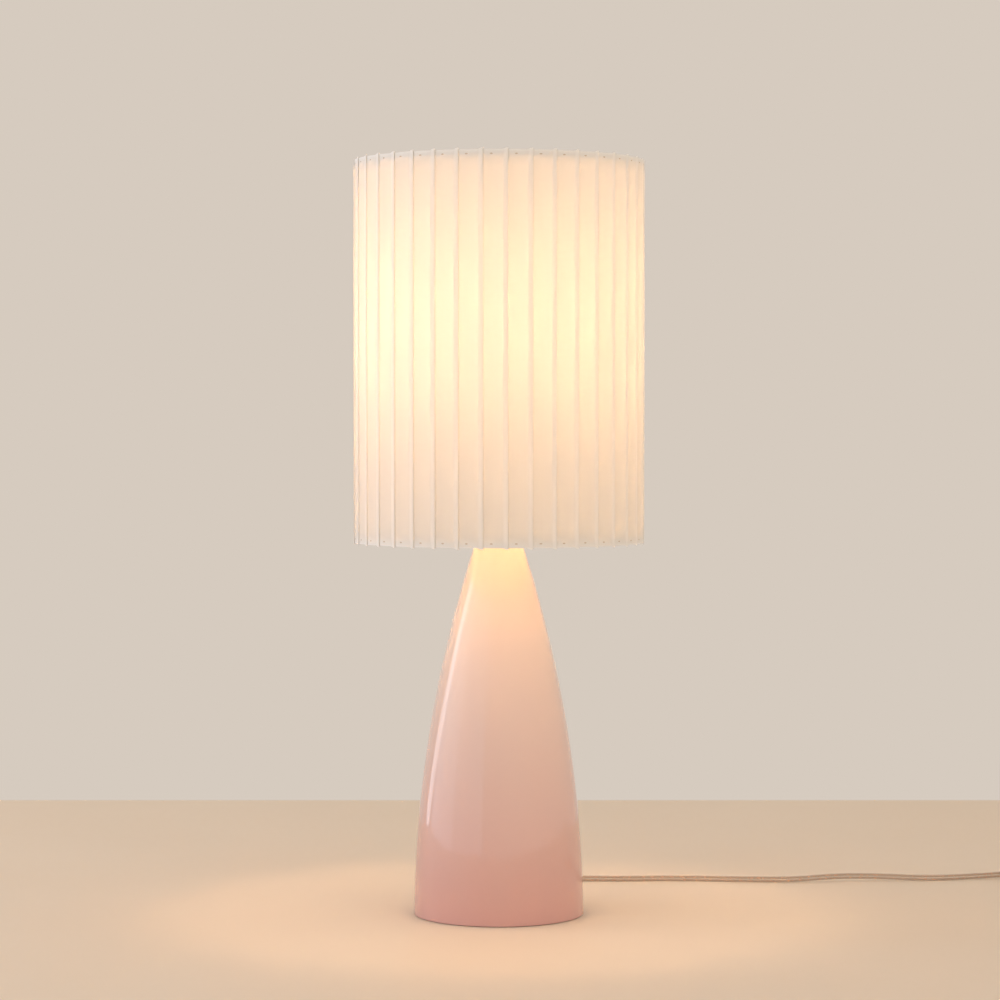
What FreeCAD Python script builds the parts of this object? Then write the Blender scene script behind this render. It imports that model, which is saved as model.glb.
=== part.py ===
import FreeCAD, Part
import math
import os
import Sketcher

# A table lamp: a cone of cased glass on a weighted foot, a lampholder with a harp on a riser,
# a knife-pleated drum shade on the harp, and a clear twin flex with its plug.
# Millimetres, +Z up. The origin is the centre of the foot's underside, and +Y is the rear.

# Driving dimensions
SIZES = {
    # foot
    "felt_inset": 3.5,
    "felt_thickness": 0.8,
    "pan_inset": 1.7,
    "pan_thickness": 0.8,
    "dome_radius": 33.0,
    "dome_height": 36.2,
    "ballast_thickness": 18.0,
    "ballast_clearance": 3.0,
    # glass
    "foot_radius": 75.2,
    "neck_radius": 19.7,
    "glass_height": 328.4,
    "glass_wall": 4.0,
    "side_arc_radius": 1078.0,
    # rod and its nut
    "rod_radius": 4.8,
    "rod_bore_radius": 3.3,
    "rod_clearance": 0.2,
    "washer_radius": 12.0,
    "washer_thickness": 1.0,
    "nut_circumradius": 8.1,
    "nut_height": 4.5,
    "rod_end_length": 1.5,
    # neck
    "gasket_thickness": 1.0,
    "vase_cap_overhang": 1.2,
    "vase_cap_thickness": 2.5,
    "vase_cap_plug_depth": 6.0,
    "vase_cap_clearance": 0.8,
    "riser_radius": 7.0,
    "riser_height": 78.5,
    # cord, its exit and its plug
    "cord_diameter": 5.6,
    "cord_fit": 0.1,
    "exit_height": 9.0,
    "bushing_wall": 1.9,
    "bushing_flange_radius": 7.0,
    "bushing_flange_thickness": 2.0,
    "bushing_fit": 0.2,
    "relief_length": 22.0,
    "relief_end_wall": 0.8,
    "coil_inner_radius": 21.06,
    "coil_pitch": 6.2,
    "coil_layer_step": 6.1,
    "tie_width": 9.0,
    "tie_thickness": 1.0,
    "tie_clearance": 0.5,
    "plug_width": 24.0,
    "plug_length": 30.0,
    "plug_corner_radius": 4.0,
    "plug_relief_length": 30.0,
    "plug_relief_radius": 6.0,
    "blade_width": 6.35,
    "blade_thickness": 1.5,
    "blade_length": 17.5,
    "blade_spacing": 12.7,
    # harp
    "saddle_thickness": 1.5,
    "saddle_width": 12.0,
    "saddle_span": 61.0,
    "tab_width": 6.0,
    "tab_height": 18.0,
    "harp_height": 213.0,
    "harp_half_width": 54.0,
    "harp_wire_radius": 1.6,
    "harp_fit": 0.1,
    "harp_leg_start": 3.0,
    "harp_leg_height": 34.0,
    "harp_flare_height": 42.0,
    "harp_leg_bend": 12.0,
    "harp_flare_bend": 25.0,
    "harp_crown_half_flat": 9.0,
    "ferrule_wall": 1.0,
    "ferrule_clearance": 0.35,
    "ferrule_height": 12.0,
    "ferrule_seat": 4.0,
    "stud_flange_radius": 6.0,
    "stud_flange_height": 3.0,
    "stud_radius": 3.15,
    "stud_height": 10.0,
    # lampholder
    "socket_cap_radius": 17.0,
    "socket_cap_height": 22.0,
    "socket_cap_skirt": 6.0,
    "socket_hub_radius": 8.0,
    "socket_hub_height": 5.0,
    "socket_metal": 0.7,
    "socket_fit": 0.2,
    "shell_overlap": 4.0,
    "shell_height": 44.0,
    "liner_thickness": 0.5,
    "liner_recess": 1.0,
    "socket_body_height": 18.0,
    "screw_shell_metal": 0.5,
    "screw_shell_height": 22.0,
    "contact_radius": 4.0,
    "contact_height": 1.5,
    # switch
    "switch_height": 9.0,
    "shaft_radius": 1.8,
    "shaft_fit": 0.1,
    "shaft_depth": 6.0,
    "shaft_reach": 10.0,
    "knob_gap": 3.0,
    "knob_radius": 4.0,
    "knob_hub_length": 8.0,
    "paddle_width": 13.0,
    "paddle_length": 10.0,
    "paddle_thickness": 4.0,
    # bulb
    "bulb_gap": 0.3,
    "bulb_tip_radius": 4.5,
    "bulb_tip_height": 3.2,
    "bulb_cap_radius": 13.0,
    "bulb_cap_height": 25.0,
    "bulb_running_gap": 0.3,
    "bulb_collar_height": 6.0,
    "bulb_globe_radius": 30.0,
    "bulb_length": 110.0,
    "bulb_waist_drop": 12.0,
    # shade
    "shade_radius": 128.0,
    "shade_height": 337.0,
    "pleat_count": 38,
    "first_fold_angle": 3.5,
    "pleat_depth": 4.0,
    "pleat_tuck": 4.6,
    "fabric_thickness": 0.7,
    "hem_height": 5.5,
    "hem_thickness": 0.6,
    "hem_clearance": 0.7,
    "ring_wire_radius": 1.5,
    "ring_clearance": 0.2,
    "ring_inset": 3.0,
    "spider_recess": 34.9,
    "spider_wire_radius": 1.5,
    "hub_radius": 11.0,
    "hub_thickness": 2.0,
    "running_gap": 0.1,
    # finial
    "insert_radius": 4.5,
    "insert_height": 9.0,
    "finial_radius": 7.5,
    "finial_height": 18.0,
}

# Middle line of the cord from the strain relief to the coil, chosen by hand
CORD_ROUTE = [
    (0.0, 99.4, 9.0),
    (0.0, 127.0, 9.0),
    (5.0, 155.0, 4.0),
    (26.0, 174.0, 2.8),
    (58.0, 178.0, 2.8),
    (110.0, 173.0, 2.8),
    (168.0, 178.0, 2.8),
    (226.0, 171.0, 2.8),
    (280.0, 169.0, 2.8),
    (316.0, 177.0, 4.8),
    (356.0, 180.0, 4.4),
    (404.0, 177.0, 2.8),
    (446.0, 187.0, 2.8),
    (484.0, 195.0, 4.0),
    (518.4, 195.0, 4.0),
]
COIL_TURNS = 6.25
ARC_SHARE = 0.45
SPIDER_ANGLES = (90.0, 210.0, 330.0)
FULL_TURN = 360.0

doc = FreeCAD.newDocument("table_lamp")
sizes = doc.addObject("Spreadsheet::Sheet", "sizes")
for row, (alias, amount) in enumerate(SIZES.items(), start=1):
    sizes.set("A%d" % row, alias)
    sizes.set("B%d" % row, str(amount))
    sizes.setAlias("B%d" % row, alias)
doc.recompute()

subparts = []


def number(formula):
    """The value of a formula of the sheet's sizes."""
    return float(sizes.evalExpression(formula))


def add(*terms):
    """One formula that adds up sizes and other formulas."""
    return "(" + " + ".join(terms) + ")"


def keep(label, item):
    """Name a finished sub-part and list it for writing."""
    item.Label = label
    subparts.append(item)
    return item


def bind(item, **formulas):
    """Tie an object's properties to formulas."""
    for name, formula in formulas.items():
        item.setExpression(name, formula)


def place(item, across="0", back="0", up="0", turn=None):
    """Put an object at a place given by formulas, turned first if asked."""
    if turn is not None:
        item.Placement = FreeCAD.Placement(FreeCAD.Vector(), turn)
    for axis, formula in (("x", across), ("y", back), ("z", up)):
        item.setExpression("Placement.Base." + axis, formula)
    return item


def along_rear():
    """The turn that points an upright piece to the rear."""
    return FreeCAD.Rotation(FreeCAD.Vector(1, 0, 0), -90)


def along_front():
    """The turn that points an upright piece to the front."""
    return FreeCAD.Rotation(FreeCAD.Vector(1, 0, 0), 90)


def box(name, length, width, height):
    item = doc.addObject("Part::Box", name)
    bind(item, Length=length, Width=width, Height=height)
    return item


def cylinder(name, radius, height):
    item = doc.addObject("Part::Cylinder", name)
    bind(item, Radius=radius, Height=height)
    return item


def cut(name, base, tool):
    item = doc.addObject("Part::Cut", name)
    item.Base = base
    item.Tool = tool
    return item


def fuse(name, *pieces):
    item = doc.addObject("Part::MultiFuse", name)
    item.Shapes = list(pieces)
    return item


def outline_sketch(body, name):
    """An empty sketch on the body's own upright plane, where X is the radius and Y the height."""
    sketch = body.newObject("Sketcher::SketchObject", name)
    plane = next(item for item in body.Origin.OriginFeatures if item.Role == "XZ_Plane")
    sketch.AttachmentSupport = [(plane, "")]
    sketch.MapMode = "FlatFace"
    return sketch


def pin_point(sketch, edge, end, radius, height):
    """Hold one end of an edge at a radius and a height given by formulas."""
    if radius == "0":
        sketch.addConstraint(Sketcher.Constraint("PointOnObject", edge, end, -2))
    else:
        index = sketch.addConstraint(
            Sketcher.Constraint("DistanceX", -1, 1, edge, end, number(radius)))
        sketch.setExpression("Constraints[%d]" % index, radius)
    if height == "0":
        sketch.addConstraint(Sketcher.Constraint("PointOnObject", edge, end, -1))
    else:
        index = sketch.addConstraint(
            Sketcher.Constraint("DistanceY", -1, 1, edge, end, number(height)))
        sketch.setExpression("Constraints[%d]" % index, height)


def set_radius(sketch, edge, formula):
    """Give an arc its radius."""
    index = sketch.addConstraint(Sketcher.Constraint("Radius", edge, number(formula)))
    sketch.setExpression("Constraints[%d]" % index, formula)


def revolve(body, sketch):
    turn = body.newObject("PartDesign::Revolution", body.Name + "_turn")
    turn.Profile = sketch
    turn.ReferenceAxis = (sketch, ["V_Axis"])
    turn.Angle = FULL_TURN
    return body


def turned(name, outline):
    """A body of revolution from a closed outline of (radius, height) formulas."""
    body = doc.addObject("PartDesign::Body", name)
    sketch = outline_sketch(body, name + "_outline")
    corners = [FreeCAD.Vector(number(radius), number(height), 0) for radius, height in outline]
    count = len(corners)
    for index, corner in enumerate(corners):
        sketch.addGeometry(Part.LineSegment(corner, corners[(index + 1) % count]))
    for index, (radius, height) in enumerate(outline):
        sketch.addConstraint(Sketcher.Constraint("Coincident", index, 2, (index + 1) % count, 1))
        pin_point(sketch, index, 1, radius, height)
    return revolve(body, sketch)


def ring(name, inner, outer, height):
    """A turned ring that stands on its own zero height."""
    return turned(name, [(inner, "0"), (outer, "0"), (outer, height), (inner, height)])


def three_point_arc(start, middle, end):
    return Part.Arc(start, middle, end).toShape()


def rounded_wire(points, radii):
    """Straight runs joined by tangent arcs of the given radii at the inner points."""
    edges = []
    last = points[0]
    for before, corner, after, radius in zip(points, points[1:], points[2:], radii):
        back = (before - corner).normalize()
        ahead = (after - corner).normalize()
        half_angle = back.getAngle(ahead) / 2
        reach = radius / math.tan(half_angle)
        inward = (back + ahead).normalize()
        centre_distance = radius / math.sin(half_angle)
        start = corner + back * reach
        end = corner + ahead * reach
        middle = corner + inward * (centre_distance - radius)
        edges.append(Part.LineSegment(last, start).toShape())
        edges.append(three_point_arc(start, middle, end))
        last = end
    edges.append(Part.LineSegment(last, points[-1]).toShape())
    return Part.Wire(edges)


def round_section(wire, radius):
    """A circle across the start of a wire."""
    first = wire.OrderedEdges[0]
    direction = first.tangentAt(first.FirstParameter)
    return Part.Wire(Part.makeCircle(radius, first.valueAt(first.FirstParameter), direction))


def tube(wire, radius):
    """A round solid along a wire, compared with its section times its length."""
    solid = wire.makePipeShell([round_section(wire, radius)], True, False)
    share = solid.Volume / (math.pi * radius ** 2 * wire.Length)
    print("tube length %.1f mm, volume share %.4f" % (wire.Length, share))
    return solid


def shaped(name, shape):
    """A sub-part whose shape is worked out here."""
    item = doc.addObject("Part::Feature", name)
    item.Shape = shape
    item.Placement = FreeCAD.Placement()
    return keep(name, item)


# Levels, from the foot upwards
RIM = add("sizes.felt_thickness", "sizes.pan_thickness")
GLASS_TOP = add(RIM, "sizes.glass_height")
DOME_TOP = add("sizes.felt_thickness", "sizes.dome_height")
CAP_SEAT = add(GLASS_TOP, "sizes.gasket_thickness")
RISER_FOOT = add(CAP_SEAT, "sizes.vase_cap_thickness")
SADDLE_SEAT = add(RISER_FOOT, "sizes.riser_height")
SOCKET_SEAT = add(SADDLE_SEAT, "sizes.saddle_thickness")
SHELL_FOOT = add(SOCKET_SEAT, "sizes.socket_cap_height", "-sizes.shell_overlap")
SOCKET_BODY_TOP = add(SHELL_FOOT, "sizes.socket_body_height")
BULB_FOOT = add(SOCKET_BODY_TOP, "sizes.contact_height", "sizes.bulb_gap")
HARP_TOP = add(SADDLE_SEAT, "sizes.harp_height")
STUD_SEAT = add(HARP_TOP, "sizes.harp_wire_radius")
HUB_SEAT = add(STUD_SEAT, "sizes.stud_flange_height")
HUB_FOOT = add(HUB_SEAT, "sizes.running_gap")
FINIAL_FOOT = add(HUB_FOOT, "sizes.hub_thickness", "sizes.running_gap")
SHADE_TOP = add(HUB_SEAT, "sizes.spider_recess")
SHADE_FOOT = add(SHADE_TOP, "-sizes.shade_height")
ROD_FOOT = add(DOME_TOP, "-sizes.pan_thickness", "-sizes.washer_thickness",
               "-sizes.nut_height", "-sizes.rod_end_length")

# Radii that several pieces share
PAN_RADIUS = add("sizes.foot_radius", "-sizes.pan_inset")
FELT_RADIUS = add(PAN_RADIUS, "-sizes.felt_inset")
ROD_HOLE = add("sizes.rod_radius", "sizes.rod_clearance")
CORD_RADIUS = "sizes.cord_diameter / 2"
LEAD_HOLE = add(CORD_RADIUS, "sizes.cord_fit")
BUSHING_RADIUS = add(LEAD_HOLE, "sizes.bushing_wall")
EXIT_HOLE = add(BUSHING_RADIUS, "sizes.bushing_fit")
NECK_BORE = add("sizes.neck_radius", "-sizes.glass_wall")
SHELL_RADIUS = add("sizes.socket_cap_radius", "-sizes.socket_metal", "-sizes.socket_fit")
LINER_RADIUS = add(SHELL_RADIUS, "-sizes.socket_metal", "-sizes.socket_fit")
SOCKET_BODY_RADIUS = add(LINER_RADIUS, "-sizes.liner_thickness", "-sizes.socket_fit")
SCREW_SHELL_BORE = add("sizes.bulb_cap_radius", "sizes.bulb_running_gap")
STUD_HOLE = add("sizes.stud_radius", "sizes.rod_clearance")
HEM_RADIUS = add("sizes.shade_radius", "-sizes.pleat_depth", "-sizes.hem_clearance")
RING_RADIUS = add(HEM_RADIUS, "-sizes.hem_thickness", "-sizes.ring_clearance",
                  "-sizes.ring_wire_radius")


def exit_cylinder(name, radius, start, length):
    """A cylinder along the cord's way out, from a distance behind the axis."""
    return place(cylinder(name, radius, length), back=start, up="sizes.exit_height",
                 turn=along_rear())


# Foot: a felt pad under a pressed pan, and an iron ring that lies in the pan
felt_pad = keep("felt_pad", cylinder("felt_pad", FELT_RADIUS, "sizes.felt_thickness"))

pan_blank = turned("pan_blank", [
    (ROD_HOLE, add(DOME_TOP, "-sizes.pan_thickness")),
    (add("sizes.dome_radius", "-sizes.pan_thickness"), add(DOME_TOP, "-sizes.pan_thickness")),
    (add("sizes.dome_radius", "-sizes.pan_thickness"), "sizes.felt_thickness"),
    (PAN_RADIUS, "sizes.felt_thickness"),
    (PAN_RADIUS, RIM),
    ("sizes.dome_radius", RIM),
    ("sizes.dome_radius", DOME_TOP),
    (ROD_HOLE, DOME_TOP),
])
pan_hole = exit_cylinder("pan_hole", EXIT_HOLE, "sizes.dome_radius / 2", "sizes.dome_radius")
base_pan = keep("base_pan", cut("base_pan", pan_blank, pan_hole))

BALLAST_RADIUS = add("sizes.foot_radius", "-sizes.glass_wall", "-sizes.ballast_clearance")
ballast_blank = place(ring("ballast_blank", add("sizes.dome_radius", "sizes.socket_fit"),
                           BALLAST_RADIUS, "sizes.ballast_thickness"), up=RIM)
lead_slot = box("lead_slot", "2 * " + EXIT_HOLE, BALLAST_RADIUS, add("sizes.exit_height", EXIT_HOLE))
place(lead_slot, across="-1 * " + EXIT_HOLE, back="sizes.dome_radius / 2")
ballast_ring = keep("ballast_ring", cut("ballast_ring", ballast_blank, lead_slot))


# Glass: two arcs about one centre, closed by a flat rim and a flat neck top
def glass_blank():
    body = doc.addObject("PartDesign::Body", "glass_blank")
    sketch = outline_sketch(body, "glass_outline")
    foot = FreeCAD.Vector(number("sizes.foot_radius"), number(RIM), 0)
    top = FreeCAD.Vector(number("sizes.neck_radius"), number(GLASS_TOP), 0)
    arc_radius = number("sizes.side_arc_radius")
    chord = top - foot
    half_chord = chord.Length / 2
    inward = FreeCAD.Vector(-chord.y, chord.x, 0).normalize()
    centre = (foot + top) * 0.5 + inward * math.sqrt(arc_radius ** 2 - half_chord ** 2)
    inner_radius = arc_radius - number("sizes.glass_wall")
    edges = []
    for radius in (arc_radius, inner_radius):
        low = math.asin((foot.y - centre.y) / radius)
        high = math.asin((top.y - centre.y) / radius)
        circle = Part.Circle(centre, FreeCAD.Vector(0, 0, 1), radius)
        edges.append(Part.ArcOfCircle(circle, low, high))
    outer, inner = edges
    sketch.addGeometry(outer)
    sketch.addGeometry(Part.LineSegment(outer.EndPoint, inner.EndPoint))
    sketch.addGeometry(inner)
    sketch.addGeometry(Part.LineSegment(inner.StartPoint, outer.StartPoint))
    sketch.addConstraint(Sketcher.Constraint("Coincident", 0, 2, 1, 1))
    sketch.addConstraint(Sketcher.Constraint("Coincident", 1, 2, 2, 2))
    sketch.addConstraint(Sketcher.Constraint("Coincident", 2, 1, 3, 1))
    sketch.addConstraint(Sketcher.Constraint("Coincident", 3, 2, 0, 1))
    sketch.addConstraint(Sketcher.Constraint("Coincident", 0, 3, 2, 3))
    sketch.addConstraint(Sketcher.Constraint("Horizontal", 1))
    sketch.addConstraint(Sketcher.Constraint("Horizontal", 3))
    pin_point(sketch, 0, 1, "sizes.foot_radius", RIM)
    pin_point(sketch, 0, 2, "sizes.neck_radius", GLASS_TOP)
    set_radius(sketch, 0, "sizes.side_arc_radius")
    set_radius(sketch, 2, add("sizes.side_arc_radius", "-sizes.glass_wall"))
    return revolve(body, sketch)


glass_hole = exit_cylinder("glass_hole", EXIT_HOLE, "sizes.foot_radius / 2", "sizes.foot_radius")
glass_base = keep("glass_base", cut("glass_base", glass_blank(), glass_hole))

# Rod: a hollow rod that pulls the neck down on the glass, with a washer and nut under the dome
rod_length = add(SOCKET_SEAT, "sizes.socket_hub_height", "-1 * " + ROD_FOOT)
threaded_rod = ring("threaded_rod", "sizes.rod_bore_radius", "sizes.rod_radius", rod_length)
keep("threaded_rod", place(threaded_rod, up=ROD_FOOT))

bottom_washer = ring("bottom_washer", ROD_HOLE, "sizes.washer_radius", "sizes.washer_thickness")
WASHER_FOOT = add(DOME_TOP, "-sizes.pan_thickness", "-sizes.washer_thickness")
keep("bottom_washer", place(bottom_washer, up=WASHER_FOOT))

nut_blank = doc.addObject("Part::Prism", "nut_blank")
nut_blank.Polygon = 6
bind(nut_blank, Circumradius="sizes.nut_circumradius", Height="sizes.nut_height")
place(nut_blank, up=add(ROD_FOOT, "sizes.rod_end_length"))
nut_bore = place(cylinder("nut_bore", ROD_HOLE, "sizes.dome_height"), up=ROD_FOOT)
keep("bottom_nut", cut("bottom_nut", nut_blank, nut_bore))

# Neck: a rubber ring and a spun cap close the glass, and a tube lifts the lampholder
neck_gasket = ring("neck_gasket", NECK_BORE, "sizes.neck_radius", "sizes.gasket_thickness")
keep("neck_gasket", place(neck_gasket, up=GLASS_TOP))

PLUG_RADIUS = add(NECK_BORE, "-sizes.vase_cap_clearance")
CAP_RADIUS = add("sizes.neck_radius", "sizes.vase_cap_overhang")
vase_cap = turned("vase_cap", [
    (ROD_HOLE, add(CAP_SEAT, "-sizes.vase_cap_plug_depth")),
    (PLUG_RADIUS, add(CAP_SEAT, "-sizes.vase_cap_plug_depth")),
    (PLUG_RADIUS, CAP_SEAT),
    (CAP_RADIUS, CAP_SEAT),
    (CAP_RADIUS, RISER_FOOT),
    (ROD_HOLE, RISER_FOOT),
])
keep("vase_cap", vase_cap)
neck_riser = ring("neck_riser", ROD_HOLE, "sizes.riser_radius", "sizes.riser_height")
keep("neck_riser", place(neck_riser, up=RISER_FOOT))

# Cord exit: a sleeve through the glass wall with a flange and a tapered strain relief
BUSHING_BACK = add("sizes.foot_radius", "sizes.bushing_fit")
BUSHING_DEPTH = add("sizes.glass_wall", "sizes.bushing_fit", "sizes.bushing_fit")
FLANGE_END = add(BUSHING_DEPTH, "sizes.bushing_flange_thickness")
RELIEF_END = add(FLANGE_END, "sizes.relief_length")
cord_bushing = turned("cord_bushing", [
    (LEAD_HOLE, "0"),
    (BUSHING_RADIUS, "0"),
    (BUSHING_RADIUS, BUSHING_DEPTH),
    ("sizes.bushing_flange_radius", BUSHING_DEPTH),
    ("sizes.bushing_flange_radius", FLANGE_END),
    (BUSHING_RADIUS, FLANGE_END),
    (add(LEAD_HOLE, "sizes.relief_end_wall"), RELIEF_END),
    (LEAD_HOLE, RELIEF_END),
])
place(cord_bushing, back=add(BUSHING_BACK, "-1 * " + BUSHING_DEPTH), up="sizes.exit_height",
      turn=along_rear())
keep("cord_bushing", cord_bushing)

# Lead: from the strain relief through the foot, then up the rod to the lampholder
exit_height = number("sizes.exit_height")
exit_back = number(add(BUSHING_BACK, "-1 * " + BUSHING_DEPTH, RELIEF_END))
cord_radius = number(CORD_RADIUS)
lead_wire = rounded_wire(
    [FreeCAD.Vector(0, exit_back, exit_height),
     FreeCAD.Vector(0, 0, exit_height),
     FreeCAD.Vector(0, 0, number(SHELL_FOOT))],
    [number(ROD_FOOT) - exit_height])
shaped("inner_lead", tube(lead_wire, cord_radius))

# Harp saddle: a strip with two upturned tabs
SADDLE_HALF = "sizes.saddle_span / 2"
saddle_strip = box("saddle_strip", "sizes.saddle_span", "sizes.saddle_width", "sizes.saddle_thickness")
place(saddle_strip, across="-1 * " + SADDLE_HALF, back="-sizes.saddle_width / 2", up=SADDLE_SEAT)
saddle_tabs = []
for side, start in (("left", "-1 * " + SADDLE_HALF),
                    ("right", add(SADDLE_HALF, "-sizes.saddle_thickness"))):
    tab = box("saddle_tab_" + side, "sizes.saddle_thickness", "sizes.tab_width", "sizes.tab_height")
    saddle_tabs.append(place(tab, across=start, back="-sizes.tab_width / 2", up=SADDLE_SEAT))
saddle_hole = cylinder("saddle_hole", ROD_HOLE, "sizes.tab_height")
place(saddle_hole, up=add(SADDLE_SEAT, "-sizes.saddle_thickness"))
saddle_blank = fuse("saddle_blank", saddle_strip, *saddle_tabs)
keep("harp_saddle", cut("harp_saddle", saddle_blank, saddle_hole))

# Harp bow: one bent wire, from outside one tab over the bulb to the other
saddle_level = number(SADDLE_SEAT)
leg_across = number(add(SADDLE_HALF, "sizes.harp_fit", "sizes.harp_wire_radius"))
bow_across = number("sizes.harp_half_width")
leg_start = saddle_level + number("sizes.harp_leg_start")
leg_end = saddle_level + number("sizes.harp_leg_height")
flare_end = leg_end + number("sizes.harp_flare_height")
right_half = [(leg_across, leg_start), (leg_across, leg_end), (bow_across, flare_end),
              (bow_across, number(HARP_TOP))]
left_half = [(-across, up) for across, up in reversed(right_half)]
bow_points = [FreeCAD.Vector(across, 0, up) for across, up in right_half + left_half]
half_bends = [number("sizes.harp_leg_bend"), number("sizes.harp_flare_bend"),
              bow_across - number("sizes.harp_crown_half_flat")]
bow_wire = rounded_wire(bow_points, half_bends + half_bends[::-1])
shaped("harp_bow", tube(bow_wire, number("sizes.harp_wire_radius")))

# Ferrules: two sleeves that lock each leg of the bow to its tab
FERRULE_BORE = ("(max(sqrt(sizes.saddle_thickness ^ 2 + (sizes.tab_width / 2) ^ 2); "
                "2 * sizes.harp_wire_radius + sizes.harp_fit) + sizes.ferrule_clearance)")
for side, sign in (("left", "-1"), ("right", "1")):
    ferrule = ring("harp_ferrule_" + side, FERRULE_BORE,
                   add(FERRULE_BORE, "sizes.ferrule_wall"), "sizes.ferrule_height")
    place(ferrule, across=sign + " * " + SADDLE_HALF, up=add(SADDLE_SEAT, "sizes.ferrule_seat"))
    keep("harp_ferrule_" + side, ferrule)

# Stud: a flange on the crown of the bow with a threaded pin for the shade and finial
harp_stud = turned("harp_stud", [
    ("0", STUD_SEAT),
    ("sizes.stud_flange_radius", STUD_SEAT),
    ("sizes.stud_flange_radius", HUB_SEAT),
    ("sizes.stud_radius", HUB_SEAT),
    ("sizes.stud_radius", add(HUB_SEAT, "sizes.stud_height")),
    ("0", add(HUB_SEAT, "sizes.stud_height")),
])
keep("harp_stud", harp_stud)

# Lampholder: a cap on the rod, a shell with a card liner, and the insulating body
CAP_INNER = add("sizes.socket_cap_radius", "-sizes.socket_metal")
CAP_TOP = add(SOCKET_SEAT, "sizes.socket_cap_height")
SKIRT_FOOT = add(CAP_TOP, "-sizes.socket_cap_skirt")
HUB_TOP = add(SOCKET_SEAT, "sizes.socket_hub_height")
socket_cap = turned("socket_cap", [
    (ROD_HOLE, SOCKET_SEAT),
    ("sizes.socket_hub_radius", SOCKET_SEAT),
    ("sizes.socket_hub_radius", add(HUB_TOP, "-sizes.socket_metal")),
    ("sizes.socket_cap_radius", SKIRT_FOOT),
    ("sizes.socket_cap_radius", CAP_TOP),
    (CAP_INNER, CAP_TOP),
    (CAP_INNER, add(SKIRT_FOOT, "sizes.socket_metal")),
    (add("sizes.socket_hub_radius", "-sizes.socket_metal"), HUB_TOP),
    (ROD_HOLE, HUB_TOP),
])
keep("socket_cap", socket_cap)


def shaft_hole(name, radius):
    """A hole for the switch shaft, from the middle of the lampholder to the rear."""
    hole = cylinder(name, radius, "2 * sizes.socket_cap_radius")
    return place(hole, back="sizes.shaft_depth", up=add(SHELL_FOOT, "sizes.switch_height"),
                 turn=along_rear())


SHAFT_HOLE = add("sizes.shaft_radius", "sizes.shaft_fit")
WALL_HOLE = add(SHAFT_HOLE, "sizes.socket_fit", "sizes.socket_fit")
shell_blank = ring("shell_blank", add(SHELL_RADIUS, "-sizes.socket_metal"), SHELL_RADIUS,
                   "sizes.shell_height")
place(shell_blank, up=SHELL_FOOT)
keep("socket_shell", cut("socket_shell", shell_blank, shaft_hole("shell_hole", WALL_HOLE)))

liner_blank = ring("liner_blank", add(LINER_RADIUS, "-sizes.liner_thickness"), LINER_RADIUS,
                   add("sizes.shell_height", "-sizes.liner_recess"))
place(liner_blank, up=SHELL_FOOT)
keep("socket_liner", cut("socket_liner", liner_blank, shaft_hole("liner_hole", WALL_HOLE)))

body_blank = place(cylinder("body_blank", SOCKET_BODY_RADIUS, "sizes.socket_body_height"), up=SHELL_FOOT)
keep("socket_body", cut("socket_body", body_blank, shaft_hole("body_hole", SHAFT_HOLE)))

screw_shell = ring("screw_shell", SCREW_SHELL_BORE, add(SCREW_SHELL_BORE, "sizes.screw_shell_metal"),
                   "sizes.screw_shell_height")
keep("screw_shell", place(screw_shell, up=SOCKET_BODY_TOP))
centre_contact = cylinder("centre_contact", "sizes.contact_radius", "sizes.contact_height")
keep("centre_contact", place(centre_contact, up=SOCKET_BODY_TOP))

# Switch: a shaft out of the lampholder's rear with a turn key on it
SWITCH_LEVEL = add(SHELL_FOOT, "sizes.switch_height")
SHAFT_START = add("sizes.shaft_depth", "sizes.shaft_fit")
SHAFT_END = add("sizes.socket_cap_radius", "sizes.shaft_reach")
KNOB_START = add("sizes.socket_cap_radius", "sizes.knob_gap")
switch_shaft = cylinder("switch_shaft", "sizes.shaft_radius", add(SHAFT_END, "-1 * " + SHAFT_START))
place(switch_shaft, back=SHAFT_START, up=SWITCH_LEVEL, turn=along_rear())
keep("switch_shaft", switch_shaft)

knob_hub = place(cylinder("knob_hub", "sizes.knob_radius", "sizes.knob_hub_length"),
                 back=KNOB_START, up=SWITCH_LEVEL, turn=along_rear())
paddle = box("paddle", "sizes.paddle_width", "sizes.paddle_length", "sizes.paddle_thickness")
place(paddle, across="-sizes.paddle_width / 2", back=add(KNOB_START, "sizes.knob_hub_length / 2"),
      up=add(SWITCH_LEVEL, "-sizes.paddle_thickness / 2"))
knob_bore = cylinder("knob_bore", "sizes.shaft_radius", SHAFT_END)
place(knob_bore, up=SWITCH_LEVEL, turn=along_rear())
keep("switch_knob", cut("switch_knob", fuse("knob_blank", knob_hub, paddle), knob_bore))

# Bulb: a contact tip, a screw cap and an opal globe
CAP_START = add("sizes.bulb_tip_height", "sizes.bulb_running_gap")
bulb_tip = turned("bulb_tip", [
    ("0", "0"),
    ("sizes.bulb_tip_radius", "0"),
    ("sizes.bulb_tip_radius", "sizes.bulb_tip_height / 3"),
    (add("sizes.bulb_cap_radius", "-sizes.contact_height"), "sizes.bulb_tip_height"),
    ("0", "sizes.bulb_tip_height"),
])
keep("bulb_tip", place(bulb_tip, up=BULB_FOOT))
bulb_cap = turned("bulb_cap", [
    ("0", CAP_START),
    (add("sizes.bulb_cap_radius", "-sizes.contact_height"), CAP_START),
    ("sizes.bulb_cap_radius", add(CAP_START, "sizes.contact_height")),
    ("sizes.bulb_cap_radius", "sizes.bulb_cap_height"),
    ("0", "sizes.bulb_cap_height"),
])
keep("bulb_cap", place(bulb_cap, up=BULB_FOOT))


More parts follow.
